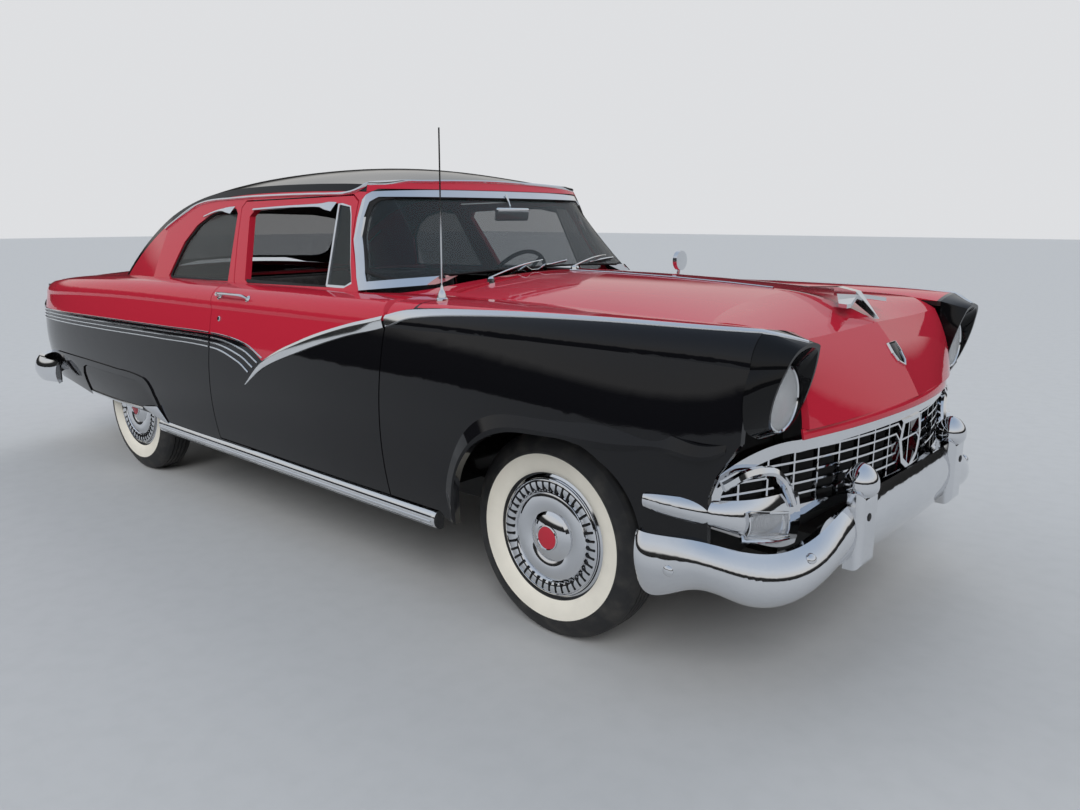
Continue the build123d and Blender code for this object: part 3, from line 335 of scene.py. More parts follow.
@dataclass(frozen=True)
class TwoTone(Enamel):
    """Enamel in two colours, parted along the line that the side trim covers, and undercoat inside.

    The parting gives the line's height at an x. The crest gives how far from the middle the upper
    colour goes at an x, on top of the fender.
    """

    lower: Colour = (0.004, 0.004, 0.005)
    parting: Table = (
        (-2.6, 0.800), (-2.025, 0.812), (-1.24, 0.830), (-0.592, 0.841), (-0.097, 0.847), (0.09, 0.835),
        (0.138, 0.824), (0.20, 0.806), (0.258, 0.777), (0.285, 0.766), (0.53, 0.862), (0.79, 0.938),
        (1.00, 0.990), (1.05, 1.000), (1.13, 1.018), (1.20, 1.6), (2.6, 1.6),
    )
    crest: Table = (
        (-2.6, 0.0), (1.125, 0.0), (1.13, 0.892), (1.50, 0.882), (1.86, 0.850), (2.15, 0.812), (2.33, 0.778),
        (2.334, 0.0), (2.6, 0.0),
    )
    crest_floor: float = 0.99
    lining_top: float = 1.03

    def paint(self, g: Finish) -> None:
        """Paint the two colours and the undercoat.

        Args:
            g: the finish.
        """
        x, y, z = g.parts(g.coordinates())
        crown = y.magnitude().below(x.curve(self.crest)) * z.above(self.crest_floor)
        high = z.above(x.curve(self.parting)).larger(crown)
        facing = g.parts(g.coordinates("Normal"))[1] * y
        painted = g.mix(high, self.lower, self.colour)
        self.gloss(g, g.mix(facing.below(-0.12) * z.below(self.lining_top), painted, UNDERCOAT))


@dataclass(frozen=True)
class Scuttle(Enamel):
    """Enamel on top and undercoat below the belt line."""

    belt: float = 1.0

    def paint(self, g: Finish) -> None:
        """Paint above the belt line, and leave the undercoat below."""
        z = g.parts(g.coordinates())[2]
        self.gloss(g, g.mix(z.above(self.belt), UNDERCOAT, self.colour))


@dataclass(frozen=True)
class LinedRoof(Enamel):
    """Roof enamel outside with the header in the body colour, and woven headlining inside."""

    header: Colour = (0.3, 0.0, 0.0)
    header_from: float = 0.5
    header_top: float = 1.4785
    lining: Colour = (0.16, 0.15, 0.14)
    weave: float = 1500.0

    def paint(self, g: Finish) -> None:
        """Paint the roof, its header and its lining.

        Args:
            g: the finish.
        """
        ahead, _, aloft = g.parts(g.coordinates("Normal"))
        inside = aloft.below(-0.15)
        x, y, z = g.parts(g.coordinates())
        front = ahead.above(0.6) * x.above(self.header_from) * z.below(self.header_top)
        weave = (x * self.weave).sine() * (y * self.weave).sine()
        cloth = g.mix(g.noise(30.0) * 0.5, self.lining, tinted(self.lining, 0.6))
        g.set(Base_Color=g.mix(inside, g.mix(front, self.colour, self.header), cloth))
        g.set(Roughness=inside * 0.8 + self.roughness, Specular_IOR_Level=self.shine)
        g.bump(weave * inside + g.noise(260.0, 1.0), self.peel, 0.35)


@dataclass(frozen=True)
class Plate(Coat):
    """Plated or polished metal, a little uneven in polish and lie."""

    colour: Colour = (0.80, 0.81, 0.83)
    polish: float = 0.03
    wear: float = 0.06
    grain: Point = (1.0, 1.0, 1.0)
    wave: float = 0.0006

    def paint(self, g: Finish) -> None:
        """Plate the surface.

        Args:
            g: the finish.
        """
        patch = g.noise(7.0, 4.0, self.grain)
        g.set(Base_Color=g.mix(patch, self.colour, tinted(self.colour, 0.86)), Metallic=1.0)
        g.set(Roughness=patch * self.wear + self.polish)
        g.bump(g.noise(4.0, 1.0, self.grain), self.wave, 0.3)


@dataclass(frozen=True)
class Rough(Coat):
    """A matt or satin surface with blotches and a grain."""

    colour: Colour
    blotch: Colour
    roughness: float = 0.7
    metallic: float = 0.0
    scale: float = 12.0
    grain: float = 0.0004

    def paint(self, g: Finish) -> None:
        """Blotch the surface.

        Args:
            g: the finish.
        """
        patch = g.noise(self.scale, 5.0)
        g.set(Base_Color=g.mix(patch.rise(0.35, 0.75), self.colour, self.blotch), Metallic=self.metallic)
        g.set(Roughness=patch * 0.25 + (self.roughness - 0.12))
        g.bump(g.noise(self.scale * 14, 3.0), self.grain, 0.5)


@dataclass(frozen=True)
class Whitewall(Coat):
    """Tyre rubber with a pale band between two radii around one hub."""

    hub: Point
    inner: float = 0.2095
    outer: float = 0.2715
    proud: float = 0.02
    rubber: Colour = (0.014, 0.014, 0.015)
    dusty: Colour = (0.045, 0.042, 0.038)
    band: Colour = (0.80, 0.755, 0.655)
    rings: float = 2200.0

    def paint(self, g: Finish) -> None:
        """Paint the rubber and its band.

        Args:
            g: the finish.
        """
        x, y, z = g.parts(g.coordinates())
        out = 1 if self.hub[1] > 0 else -1
        dx, dz = x - self.hub[0], z - self.hub[2]
        radius = (dx * dx + dz * dz).root()
        outside = (y * out).above(abs(self.hub[1]) + self.proud)
        pale = radius.above(self.inner) * radius.below(self.outer) * outside
        patch = g.noise(16.0, 5.0)
        rubber = g.mix(patch.rise(0.4, 0.8), self.rubber, self.dusty)
        chalk = g.mix(patch, self.band, tinted(self.band, 0.84))
        g.set(Base_Color=g.mix(pale, rubber, chalk), Roughness=patch * 0.2 + 0.5)
        grooves = (radius * self.rings).sine() * (1 - pale)
        g.bump(grooves * 0.4 + g.noise(320.0, 3.0), 0.0003, 0.5)


@dataclass(frozen=True)
class Glass(Coat):
    """Clear glass that mirrors more as it is seen more from the side."""

    tint: Colour = (0.012, 0.017, 0.016)
    alpha: float = 0.20
    flutes: float = 0.0

    def paint(self, g: Finish) -> None:
        """Glaze the surface.

        Args:
            g: the finish.
        """
        edge = g.value("ShaderNodeLayerWeight", sockets={"Blend": 0.35}, output="Fresnel")
        dust = g.noise(9.0, 5.0)
        dusty = tuple(min(1.0, c * 1.5 + 0.01) for c in self.tint)
        g.set(Base_Color=g.mix(dust, self.tint, dusty), IOR=1.9)
        g.set(Alpha=edge * 0.55 + self.alpha, Roughness=dust * 0.03)
        if self.flutes:
            g.bump((g.parts(g.coordinates())[1] * self.flutes).sine(), 0.0012, 0.8)


@dataclass(frozen=True)
class RedLens(Coat):
    """A red lens with ribs moulded behind its face."""

    colour: Colour = (0.42, 0.005, 0.008)
    deep: Colour = (0.20, 0.002, 0.004)
    ribs: float = 900.0

    def paint(self, g: Finish) -> None:
        """Mould the lens.

        Args:
            g: the finish.
        """
        _, y, z = g.parts(g.coordinates())
        ribs = (y * self.ribs).sine() * (z * self.ribs).sine()
        g.set(Base_Color=g.mix(ribs * 0.3 + 0.3, self.colour, self.deep))
        g.set(Roughness=g.noise(20.0) * 0.1 + 0.05)
        g.bump(ribs, 0.0008, 0.6)


@dataclass(frozen=True)
class Cloth(Coat):
    """Woven seat cloth with flecks in its yarn."""

    colour: Colour
    fleck: Colour
    pitch: float = 0.0042

    def paint(self, g: Finish) -> None:
        """Weave the cloth.

        Args:
            g: the finish.
        """
        x, y, z = g.parts(g.coordinates())
        turn = 2 * math.pi / self.pitch
        warp, weft = (y * turn).sine(), ((x + z) * turn).sine()
        flecks = g.noise(240.0, 2.0).rise(0.52, 0.66)
        worn = g.noise(5.0, 3.0)
        yarn = g.mix(flecks * 0.8, self.colour, self.fleck)
        g.set(Base_Color=g.mix(worn * 0.4, yarn, tinted(self.colour, 1.5)), Sheen_Weight=0.25)
        g.set(Roughness=worn * 0.1 + 0.82)
        g.bump(warp * weft + flecks * 0.6, 0.0006, 0.7)


@dataclass(frozen=True)
class Vinyl(Coat):
    """Grained vinyl or moulded plastic."""

    colour: Colour
    roughness: float = 0.42

    def paint(self, g: Finish) -> None:
        """Grain the vinyl.

        Args:
            g: the finish.
        """
        worn = g.noise(8.0, 4.0)
        pale = tuple(min(1.0, c * 1.35 + 0.002) for c in self.colour)
        g.set(Base_Color=g.mix(worn.rise(0.4, 0.8) * 0.6, self.colour, pale))
        g.set(Roughness=worn * 0.2 + (self.roughness - 0.1))
        g.bump(g.noise(420.0, 3.0), 0.0003, 0.5)


@dataclass(frozen=True)
class Look:
    """A finish together with the record's material slot that it belongs to."""

    material: bpy.types.Material
    slot: str

    @classmethod
    def of(cls, coat: Coat, slot: str) -> "Look":
        """The look of a coat, whose material is made here."""
        return cls(coat.material(), slot)


class Palette:
    """Every finish of the car, each made once."""

    RED: Colour = (0.47, 0.020, 0.040)
    BLACK: Colour = (0.0035, 0.0035, 0.004)
    TRIM: Colour = (0.84, 0.85, 0.86)
    SILVER: Colour = (0.93, 0.94, 0.95)

    def __init__(self) -> None:
        """Make the finishes."""
        self.two_tone = Look.of(TwoTone("two_tone_enamel", self.RED), "red_paint")
        self.red = Look.of(Enamel("red_enamel", self.RED), "red_paint")
        self.scuttle = Look.of(Scuttle("scuttle_enamel", self.RED), "red_paint")
        self.black = Look.of(Enamel("black_enamel", self.BLACK, 0.03, 0.26), "black_paint")
        self.roof = Look.of(LinedRoof("roof_enamel", self.BLACK, 0.03, 0.24, header=self.RED), "black_paint")
        self.chrome = Look.of(Plate("bumper_chrome"), "chrome")
        self.mirror = Look.of(Plate("reflector", self.SILVER, 0.34, 0.08), "chrome")
        self.trim = Look.of(
            Plate("bright_trim", self.TRIM, 0.07, 0.08, (0.15, 2.0, 6.0), 0.0002), "bright_trim")
        self.frame_black = Look.of(
            Rough("frame_black", (0.010, 0.010, 0.010), (0.035, 0.031, 0.026), 0.72), "chassis_black")
        self.cast = Look.of(
            Rough("cast_metal", (0.045, 0.043, 0.040), (0.020, 0.018, 0.016), 0.6, 0.7, 20.0), "cast_parts")
        self.steel = Look.of(
            Rough("dull_steel", (0.27, 0.265, 0.26), (0.16, 0.10, 0.065), 0.5, 0.85, 9.0), "bare_steel")
        self.core = Look.of(
            Rough("radiator_black", (0.006, 0.006, 0.006), (0.014, 0.013, 0.012), 0.85), "radiator_core")
        self.rubber = Look.of(
            Rough("black_rubber", (0.008, 0.008, 0.008), (0.018, 0.018, 0.018), 0.62, 0.0, 30.0),
            "wheel_plastic")
        self.plastic = Look.of(Vinyl("steering_black", (0.010, 0.010, 0.011), 0.22), "wheel_plastic")
        self.cabin = Look.of(Enamel("cabin_enamel", (0.016, 0.015, 0.016), 0.22), "cabin_paint")
        self.card = Look.of(Vinyl("door_card_vinyl", (0.020, 0.019, 0.020)), "seat_fabric")
        self.cloth = Look.of(Cloth("seat_cloth", (0.016, 0.015, 0.017), (0.10, 0.09, 0.09)), "seat_fabric")
        self.piping = Look.of(Vinyl("red_piping", (0.33, 0.015, 0.025)), "seat_fabric")
        self.glass = Look.of(Glass("window_glass"), "window_glass")
        self.clear = Look.of(Glass("lamp_lens", (0.62, 0.63, 0.64), 0.16, 1050.0), "lens_glass")
        self.red_lens = Look.of(RedLens("red_lens"), "red_lens")
        self.tyres = {
            corner: Look.of(Whitewall(f"tyre_rubber_{corner}", hub), "tyre")
            for corner, hub in WHEEL_CENTRES.items()
        }


def merged(node: str) -> bmesh.types.BMesh:
    """A copy of a CAD node's mesh with its loose triangles joined.

    Args:
        node: the node's name.

    Returns:
        The joined copy.
    """
    bm = bmesh.new()
    bm.from_mesh(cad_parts[node].data)
    bmesh.ops.remove_doubles(bm, verts=bm.verts, dist=0.00002)
    return bm


class Skin:
    """The surfaces of some CAD nodes, which new pieces are seated on."""

    FAR: float = 2.0

    def __init__(self, *nodes: str) -> None:
        """Read the nodes' surfaces."""
        self.trees = []
        for node in nodes:
            bm = merged(node)
            self.trees.append(BVHTree.FromBMesh(bm))
            bm.free()

    def near(self, guess: Sequence[float]) -> Seat:
        """The nearest place on the skin, and the outward direction there."""
        return min((tree.find_nearest(Vector(guess)) for tree in self.trees), key=lambda hit: hit[3])[:2]

    def cast(self, start: Sequence[float], way: Sequence[float]) -> Seat:
        """The first place that a ray meets, and the outward direction there."""
        hits = [tree.ray_cast(Vector(start), Vector(way)) for tree in self.trees]
        return min((hit for hit in hits if hit[0] is not None), key=lambda hit: hit[3])[:2]

    def distance(self, start: Sequence[float], way: Sequence[float]) -> float:
        """How far a ray goes before it meets the skin, or infinity."""
        hits = [tree.ray_cast(Vector(start), Vector(way))[3] for tree in self.trees]
        return min((hit for hit in hits if hit is not None), default=math.inf)

    def beside(self, x: float, z: float, side: Side) -> Seat:
        """The place on one side of the car at an x and z."""
        return self.cast((x, self.FAR * side.value, z), -side.out)

    def ahead(self, y: float, z: float) -> Seat:
        """The place on the front at a y and z."""
        return self.cast((2 * self.FAR, y, z), (-1, 0, 0))

    def behind(self, y: float, z: float) -> Seat:
        """The place on the back at a y and z."""
        return self.cast((-2 * self.FAR, y, z), (1, 0, 0))


@dataclass(frozen=True)
class Station:
    """One section of a swept piece: its middle, the way up from the skin, half its width, its height."""

    place: Vector
    up: Vector
    half: float
    lift: float


RIB: Table = ((-1, -0.6), (-1, 0.45), (-0.55, 1), (0.55, 1), (1, 0.45), (1, -0.6), (-1, -0.6))
FLAT: Table = ((-1, -0.6), (-1, 0.75), (-0.9, 1), (0.9, 1), (1, 0.75), (1, -0.6), (-1, -0.6))
ROUND: Table = tuple((math.cos(math.radians(a)), math.sin(math.radians(a))) for a in range(0, 361, 36))


def smooth_path(knots: Sequence[Sequence[float]], step: float) -> list[Vector]:
    """Points on a smooth curve.

    Args:
        knots: places that it goes through, of up to four numbers each.
        step: about how far apart the points are.

    Returns:
        The points, in order.
    """
    rows = [Vector(knot) for knot in knots]
    last = len(rows) - 1
    run = [0.0]
    for a, b in zip(rows, rows[1:]):
        run.append(run[-1] + (b - a).length)
    slopes = []
    for n in range(len(rows)):
        low, high = max(n - 1, 0), min(n + 1, last)
        slopes.append((rows[high] - rows[low]) / (run[high] - run[low]))
    out = []
    for n in range(last):
        span = run[n + 1] - run[n]
        count = max(1, round(span / step))
        for k in range(count + (n == last - 1)):
            t = k / count
            out.append(
                rows[n] * (2 * t**3 - 3 * t**2 + 1) + slopes[n] * span * (t**3 - 2 * t**2 + t)
                + rows[n + 1] * (3 * t**2 - 2 * t**3) + slopes[n + 1] * span * (t**3 - t**2)
            )
    return out


def between(path: Sequence[Vector], low: float, high: float) -> list[Vector]:
    """The stretch of a path between two planes across the car.

    Args:
        path: its points.
        low: the rear plane's x.
        high: the front plane's x.

    Returns:
        The points from the rear to the front, the ends exactly on the planes.
    """
    out = [path[0]] if low <= path[0].x <= high else []
    for a, b in zip(path, path[1:]):
        for limit in (low, high):
            if (a.x - limit) * (b.x - limit) < 0:
                out.append(a.lerp(b, (limit - a.x) / (b.x - a.x)))
        if low <= b.x <= high:
            out.append(b)
    return sorted(out, key=lambda p: p.x)


def steadied(ups: Sequence[Vector], rounds: int = 3) -> list[Vector]:
    """Directions evened out along a path.

    Args:
        ups: the directions, in order.
        rounds: how often each is mixed with its neighbours.

    Returns:
        The evened directions.
    """
    for _ in range(rounds):
        before, after = [ups[0], *ups[:-1]], [*ups[1:], ups[-1]]
        ups = [(a + up * 2 + b).normalized() for a, up, b in zip(before, ups, after)]
    return list(ups)


def sweep(stations: Sequence[Station], profile: Table = RIB, ring: bool = False) -> bmesh.types.BMesh:
    """Carry a closed cross-section along stations.

    Args:
        stations: where the section stands, in order.
        profile: (across, up) pairs, in half-widths and heights, the last the same as the first.
        ring: whether the last station meets the first.

    Returns:
        The closed bar.
    """
    bm = bmesh.new()
    columns, rows = len(profile) - 1, len(stations) - 1
    bmesh.ops.create_grid(bm, x_segments=columns, y_segments=rows, size=1)
    wide = max(v.co.x for v in bm.verts)
    ups = steadied([s.up for s in stations])
    for v in bm.verts:
        column = round((v.co.x / wide + 1) / 2 * columns)
        row = round((v.co.y / wide + 1) / 2 * rows)
        before, here, after = max(row - 1, 0), stations[row], min(row + 1, rows)
        if ring:
            before, after = (row - 1) % rows, (row + 1) % rows
        along = (stations[after].place - stations[before].place).normalized()
        across = along.cross(ups[row]).normalized()
        a, h = profile[column]
        v.co = here.place + across * a * here.half + across.cross(along) * h * here.lift
    bmesh.ops.remove_doubles(bm, verts=bm.verts, dist=0.000002)
    bmesh.ops.holes_fill(bm, edges=[e for e in bm.edges if e.is_boundary], sides=0)
    bmesh.ops.recalc_face_normals(bm, faces=bm.faces)
    return bm


def ribbon(
    seats: Sequence[Seat], half: float, lift: float, profile: Table = RIB, ring: bool = False,
) -> bmesh.types.BMesh:
    """A bar of one width and height along places with their ways up."""
    return sweep([Station(place, up, half, lift) for place, up in seats], profile, ring)


def rod(
    points: Sequence[Sequence[float]], radius: float, step: float = 0.02, squash: float = 1.0,
) -> bmesh.types.BMesh:
    """A round or oval bar along a smooth line."""
    path = smooth_path(points, step)
    return ribbon([(p, Vector((0, 0, 1))) for p in path], radius, radius * squash, ROUND)


def lathe(profile: Table, centre: Point, axis: Point, steps: int = 48) -> bmesh.types.BMesh:
    """Spin a profile round an axis.

    Args:
        profile: (distance along the axis, radius) pairs, in order.
        centre: where the axis starts.
        axis: the way it points.
        steps: how many faces go round.

    Returns:
        The turned shape, whose poles are closed.
    """
    bm = bmesh.new()
    way = Vector(axis).normalized()
    arm = way.orthogonal().normalized()
    verts = [bm.verts.new(Vector(centre) + way * along + arm * radius) for along, radius in profile]
    edges = [bm.edges.new(pair) for pair in zip(verts, verts[1:])]
    bmesh.ops.spin(
        bm, geom=verts + edges, cent=centre, axis=way, angle=2 * math.pi, steps=steps, use_merge=True)
    bmesh.ops.remove_doubles(bm, verts=bm.verts, dist=0.000005)
    bmesh.ops.holes_fill(bm, edges=[e for e in bm.edges if e.is_boundary], sides=0)
    bmesh.ops.recalc_face_normals(bm, faces=bm.faces)
    return bm


def rounded(bm: bmesh.types.BMesh, offset: float, segments: int) -> None:
    """Round off every edge of a shape."""
    bmesh.ops.bevel(
        bm, geom=bm.edges[:], offset=offset, segments=segments, profile=0.5, affect="EDGES", material=-1)


def slab(
    points: Sequence[Sequence[float]], push: Sequence[float], round_off: float = 0.0,
) -> bmesh.types.BMesh:
    """A flat outline given some thickness.

    Args:
        points: the outline's corners.
        push: the way and distance that it is thickened.
        round_off: how far its edges are rounded off, or nothing.

    Returns:
        The slab.
    """
    bm = bmesh.new()
    face = bmesh.ops.contextual_create(bm, geom=[bm.verts.new(p) for p in points])["faces"]
    grown = bmesh.ops.extrude_face_region(bm, geom=face)["geom"]
    bmesh.ops.translate(bm, verts=[v for v in grown if isinstance(v, bmesh.types.BMVert)], vec=push)
    bmesh.ops.recalc_face_normals(bm, faces=bm.faces)
    if round_off:
        rounded(bm, round_off, 2)
    return bm


def block(
    centre: Sequence[float], size: Sequence[float], round_off: float, lean: float = 0.0,
) -> bmesh.types.BMesh:
    """A block with rounded edges.

    Args:
        centre: its middle.
        size: its length, width and height.
        round_off: how far its edges are rounded off.
        lean: its turn about the Y axis, in radians.

    Returns:
        The block.
    """
    bm = bmesh.new()
    bmesh.ops.create_cube(bm, size=1)
    bmesh.ops.scale(bm, vec=size, verts=bm.verts)
    rounded(bm, round_off, 3)
    bmesh.ops.rotate(bm, verts=bm.verts, matrix=Euler((0, lean, 0)).to_matrix())
    bmesh.ops.translate(bm, verts=bm.verts, vec=centre)
    return bm


def respaced(line: Sequence[Vector], step: float) -> list[Vector]:
    """Points at an even step along a line of points.

    Args:
        line: the line's points.
        step: about how far apart the new ones are.

    Returns:
        The new points, from the line's start to its end.
    """
    whole = sum((b - a).length for a, b in zip(line, line[1:]))
    count = max(2, round(whole / step))
    gap, out, gone = whole / count, [line[0]], 0.0
    for a, b in zip(line, line[1:]):
        span = (b - a).length
        while gone + span >= gap * len(out) and len(out) < count:
            out.append(a.lerp(b, (gap * len(out) - gone) / span))
        gone += span
    return [*out, line[-1]]


def gathered(shapes: Sequence[bmesh.types.BMesh]) -> bmesh.types.BMesh:
    """Several shapes in one mesh.

    Args:
        shapes: the shapes, which are freed.

    Returns:
        The mesh that holds them all.
    """
    whole = bmesh.new()
    for shape in shapes:
        mesh = bpy.data.meshes.new("part")
        shape.to_mesh(mesh)
        shape.free()
        whole.from_mesh(mesh)
        bpy.data.meshes.remove(mesh)
    return whole


def piece(
    name: str, bm: bmesh.types.BMesh, look: Look, body: str = "body", replaced: Sequence[str] = (),
    crease: float = 35.0,
) -> bpy.types.Object:
    """Finish one piece: its mesh, its look, the body that carries it and the nodes that it stands for.

    Args:
        name: the piece's name.
        bm: its shape, in place; it is freed.
        look: its finish.
        body: the CAD body that it moves with.
        replaced: CAD nodes that it stands for.
        crease: the angle in degrees from which an edge stays sharp.

    Returns:
        The new object.
    """
    mesh = bpy.data.meshes.new(name)
    bm.to_mesh(mesh)
    bm.free()
    mesh.materials.append(look.material)
    mesh.polygons.foreach_set("use_smooth", [True] * len(mesh.polygons))
    mesh.set_sharp_from_angle(angle=math.radians(crease))
    obj = bpy.data.objects.new(name, mesh)
    bpy.context.collection.objects.link(obj)
    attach(obj, body)
    if replaced:
        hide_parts(*replaced)
    log.info("%s: %d faces", name, len(mesh.polygons))
    return obj


@dataclass
class Shell:
    """The painted body, its glass and its plated pieces as the CAD has them."""

    palette: Palette

    def build(self) -> None:
        """Dress every node that stays."""
        p = self.palette
        names = ("front_fender", "quarter_panel", "door")
        panels = [f"{name}_{side.word}" for name in names for side in Side]
        looks = (
            (p.two_tone, panels),
            (p.red, ("hood", "rear_deck", "trunk_lid")),
            (p.scuttle, ("cowl",)),
            (p.roof, ("roof",)),
            (p.black, ("lamp_housings", "wheel_skirts", "tail_panel")),
            (p.chrome, ("windshield_frame", "front_bumper", "rear_bumper", "front_guards", "rear_guards")),
            (p.chrome, ("lamp_pods", "grille_surround", "grille", "hood_ornament", "antenna", "mirror")),
            (p.trim, ("rocker_mouldings", "plate_bracket")),
            (p.glass, ("windshield", "rear_window", "quarter_glass")),
            (p.clear, ("headlamps",)),
            (p.red_lens, ("tail_lamps",)),
            (p.frame_black, ("floor_pan", "chassis", "front_suspension")),
            (p.cast, ("engine", "rear_axle", "knuckle_left", "knuckle_right")),
            (p.steel, ("fuel_tank", "exhaust", "driveshaft")),
            (p.core, ("radiator",)),
            (p.cabin, ("dashboard",)),
            (p.plastic, ("steering_wheel", "steering_column")),
            (p.cloth, ("front_seat", "rear_seat")),
        )
        for look, nodes in looks:
            for node in nodes:
                self.dress(node, look)
        for corner in WHEEL_CENTRES:
            self.dress(f"tyre_{corner}", p.tyres[corner])
            self.dress(f"wheel_{corner}", p.chrome)

    def dress(self, node: str, look: Look) -> None:
        """Give a CAD node one finish.

        Args:
            node: the node's name.
            look: the finish.
        """
        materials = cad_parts[node].data.materials
        materials.clear()
        materials.append(look.material)


@dataclass
class SideTrim:
    """The bright spear from the door up to the lamp, and the four strips behind it, on one side.

    A row of the spear is x, y, z and its width. The spear leans onto the fender's top from lean_from
    on, and has its whole lean after lean_over more.
    """

    palette: Palette
    side: Side
    spear: Table = (
        (0.131, 0.955, 0.664, 0.004), (0.28, 0.953, 0.765, 0.030), (0.53, 0.945, 0.860, 0.044),
        (0.79, 0.930, 0.937, 0.044), (1.0, 0.915, 0.982, 0.043), (1.13, 0.895, 1.012, 0.036),
        (1.50, 0.872, 1.037, 0.026), (1.86, 0.842, 1.046, 0.020), (2.15, 0.808, 1.047, 0.018),
        (2.33, 0.772, 1.048, 0.017), (2.385, 0.730, 1.038, 0.015), (2.418, 0.690, 1.020, 0.012),
    )
    blade: Table = (
        (-1, -0.5), (-1, 0.25), (-0.92, 0.55), (0.35, 1.0), (0.45, 0.97), (0.98, 0.30), (1, 0.1), (1, -0.5),
        (-1, -0.5),
    )
    spear_rise: float = 0.011
    full_rise_width: float = 0.03
    lean: float = 0.55
    lean_from: float = 0.8
    lean_over: float = 0.4
    stand_off: float = 0.4
    upper: Table = (
        (0.266, 0.786), (0.138, 0.830), (-0.097, 0.851), (-0.592, 0.845), (-1.24, 0.834), (-2.025, 0.816),
        (-2.34, 0.806),
    )
    lower: Table = (
        (0.161, 0.718), (0.089, 0.751), (-0.106, 0.790), (-0.602, 0.789), (-1.254, 0.777), (-2.041, 0.763),
        (-2.34, 0.756),
    )
    strips: int = 4
    strip_half: float = 0.0036
    strip_rise: float = 0.004
    step: float = 0.03
    door_gap: tuple[float, float] = (0.9985, 1.0115)
    rear_gap: tuple[float, float] = (-0.158, -0.140)

    def build(self) -> None:
        """Make the spear and the strips."""
        word, trim = self.side.word, self.palette.trim
        skin = Skin(f"door_{word}", f"front_fender_{word}", f"quarter_panel_{word}", "lamp_housings")
        path = smooth_path([(*self.side.of(row), row[3]) for row in self.spear], self.step)
        door, fender = between(path, -1, self.door_gap[0]), between(path, self.door_gap[1], 3)
        piece(f"side_spear_door_{word}", self.bar(skin, door), trim, f"door_{word}")
        piece(f"side_spear_fender_{word}", self.bar(skin, fender), trim)
        on_door, on_quarter = [], []
        for n in range(self.strips):
            share = n / (self.strips - 1)
            knots = [Vector(a).lerp(Vector(b), share) for a, b in zip(self.upper, self.lower)]
            line = [Vector((p.x, p.y)) for p in smooth_path(knots, self.step)]
            on_door.append(self.strip(skin, between(line, self.rear_gap[1], 3)))
            on_quarter.append(self.strip(skin, between(line, -3, self.rear_gap[0])))
        piece(f"side_strips_door_{word}", gathered(on_door), trim, f"door_{word}")
        piece(f"side_strips_quarter_{word}", gathered(on_quarter), trim)

    def bar(self, skin: Skin, path: Sequence[Vector]) -> bmesh.types.BMesh:
        """The spear along a stretch of its path.

        Args:
            skin: what it lies on.
            path: points of x, y, z and width.

        Returns:
            The spear's bar.
        """
        stations = []
        for point in path:
            lean = self.lean * min(1.0, max(0.0, (point.x - self.lean_from) / self.lean_over))
            way = Vector((0, self.side.value, lean)).normalized()
            place, up = skin.cast(Vector(point[:3]) + way * self.stand_off, -way)
            rise = self.spear_rise * min(1.0, point[3] / self.full_rise_width)
            stations.append(Station(place, up, point[3] / 2, rise))
        if self.side is Side.RIGHT:
            stations.reverse()
        return sweep(stations, self.blade)

    def strip(self, skin: Skin, line: Sequence[Vector]) -> bmesh.types.BMesh:
        """One strip along a line of x and z."""
        return ribbon([skin.beside(x, z, self.side) for x, z in line], self.strip_half, self.strip_rise)


@dataclass
class SillTrim:
    """Ribs along the sill, the stone shield ahead of the rear wheel and the strip under the skirt."""

    palette: Palette
    side: Side
    rib_heights: tuple[float, ...] = (0.014, 0.030, 0.046)
    rib_half: float = 0.0035
    rib_start: float = -0.725
    rib_pitch: float = 0.0389
    rib_points: int = 51
    sill_foot: float = 0.318
    sill_drop: float = 0.026
    sill_length: float = 1.973
    shield: Table = ((-0.855, 0.404), (-0.884, 0.420), (-0.690, 0.454), (-0.651, 0.346), (-0.686, 0.313))
    shield_thickness: float = 0.007
    skirt_line: Table = ((-1.60, 0.402), (-1.25, 0.403), (-0.90, 0.410))

    def build(self) -> None:
        """Make the pieces of one sill."""
        word = self.side.word
        sill = Skin("rocker_mouldings")
        ribs = []
        for height in self.rib_heights:
            seats = [sill.beside(x, z, self.side) for x, z in self.rib_line(height)]
            ribs.append(ribbon(seats, self.rib_half, self.rib_half))
        piece(f"sill_ribs_{word}", gathered(ribs), self.palette.chrome)
        body = Skin(f"quarter_panel_{word}", "wheel_skirts")
        seats = [body.beside(x, z, self.side) for x, z in smooth_path(self.skirt_line, 0.04)]
        piece(f"skirt_strip_{word}", ribbon(seats, 0.008, 0.006), self.palette.trim)
        out = self.side.out
        corners = [body.near(self.side.of((x, 0.95, z)))[0] + out * 0.001 for x, z in self.shield]
        piece(f"stone_shield_{word}", slab(corners, out * self.shield_thickness, 0.002), self.palette.chrome)

    def rib_line(self, height: float) -> list[tuple[float, float]]:
        """The x and z of a rib's points, which sink towards the front with the sill."""
        runs = [n * self.rib_pitch for n in range(self.rib_points)]
        foot = self.sill_foot + height
        return [(self.rib_start + run, foot - self.sill_drop * run / self.sill_length) for run in runs]


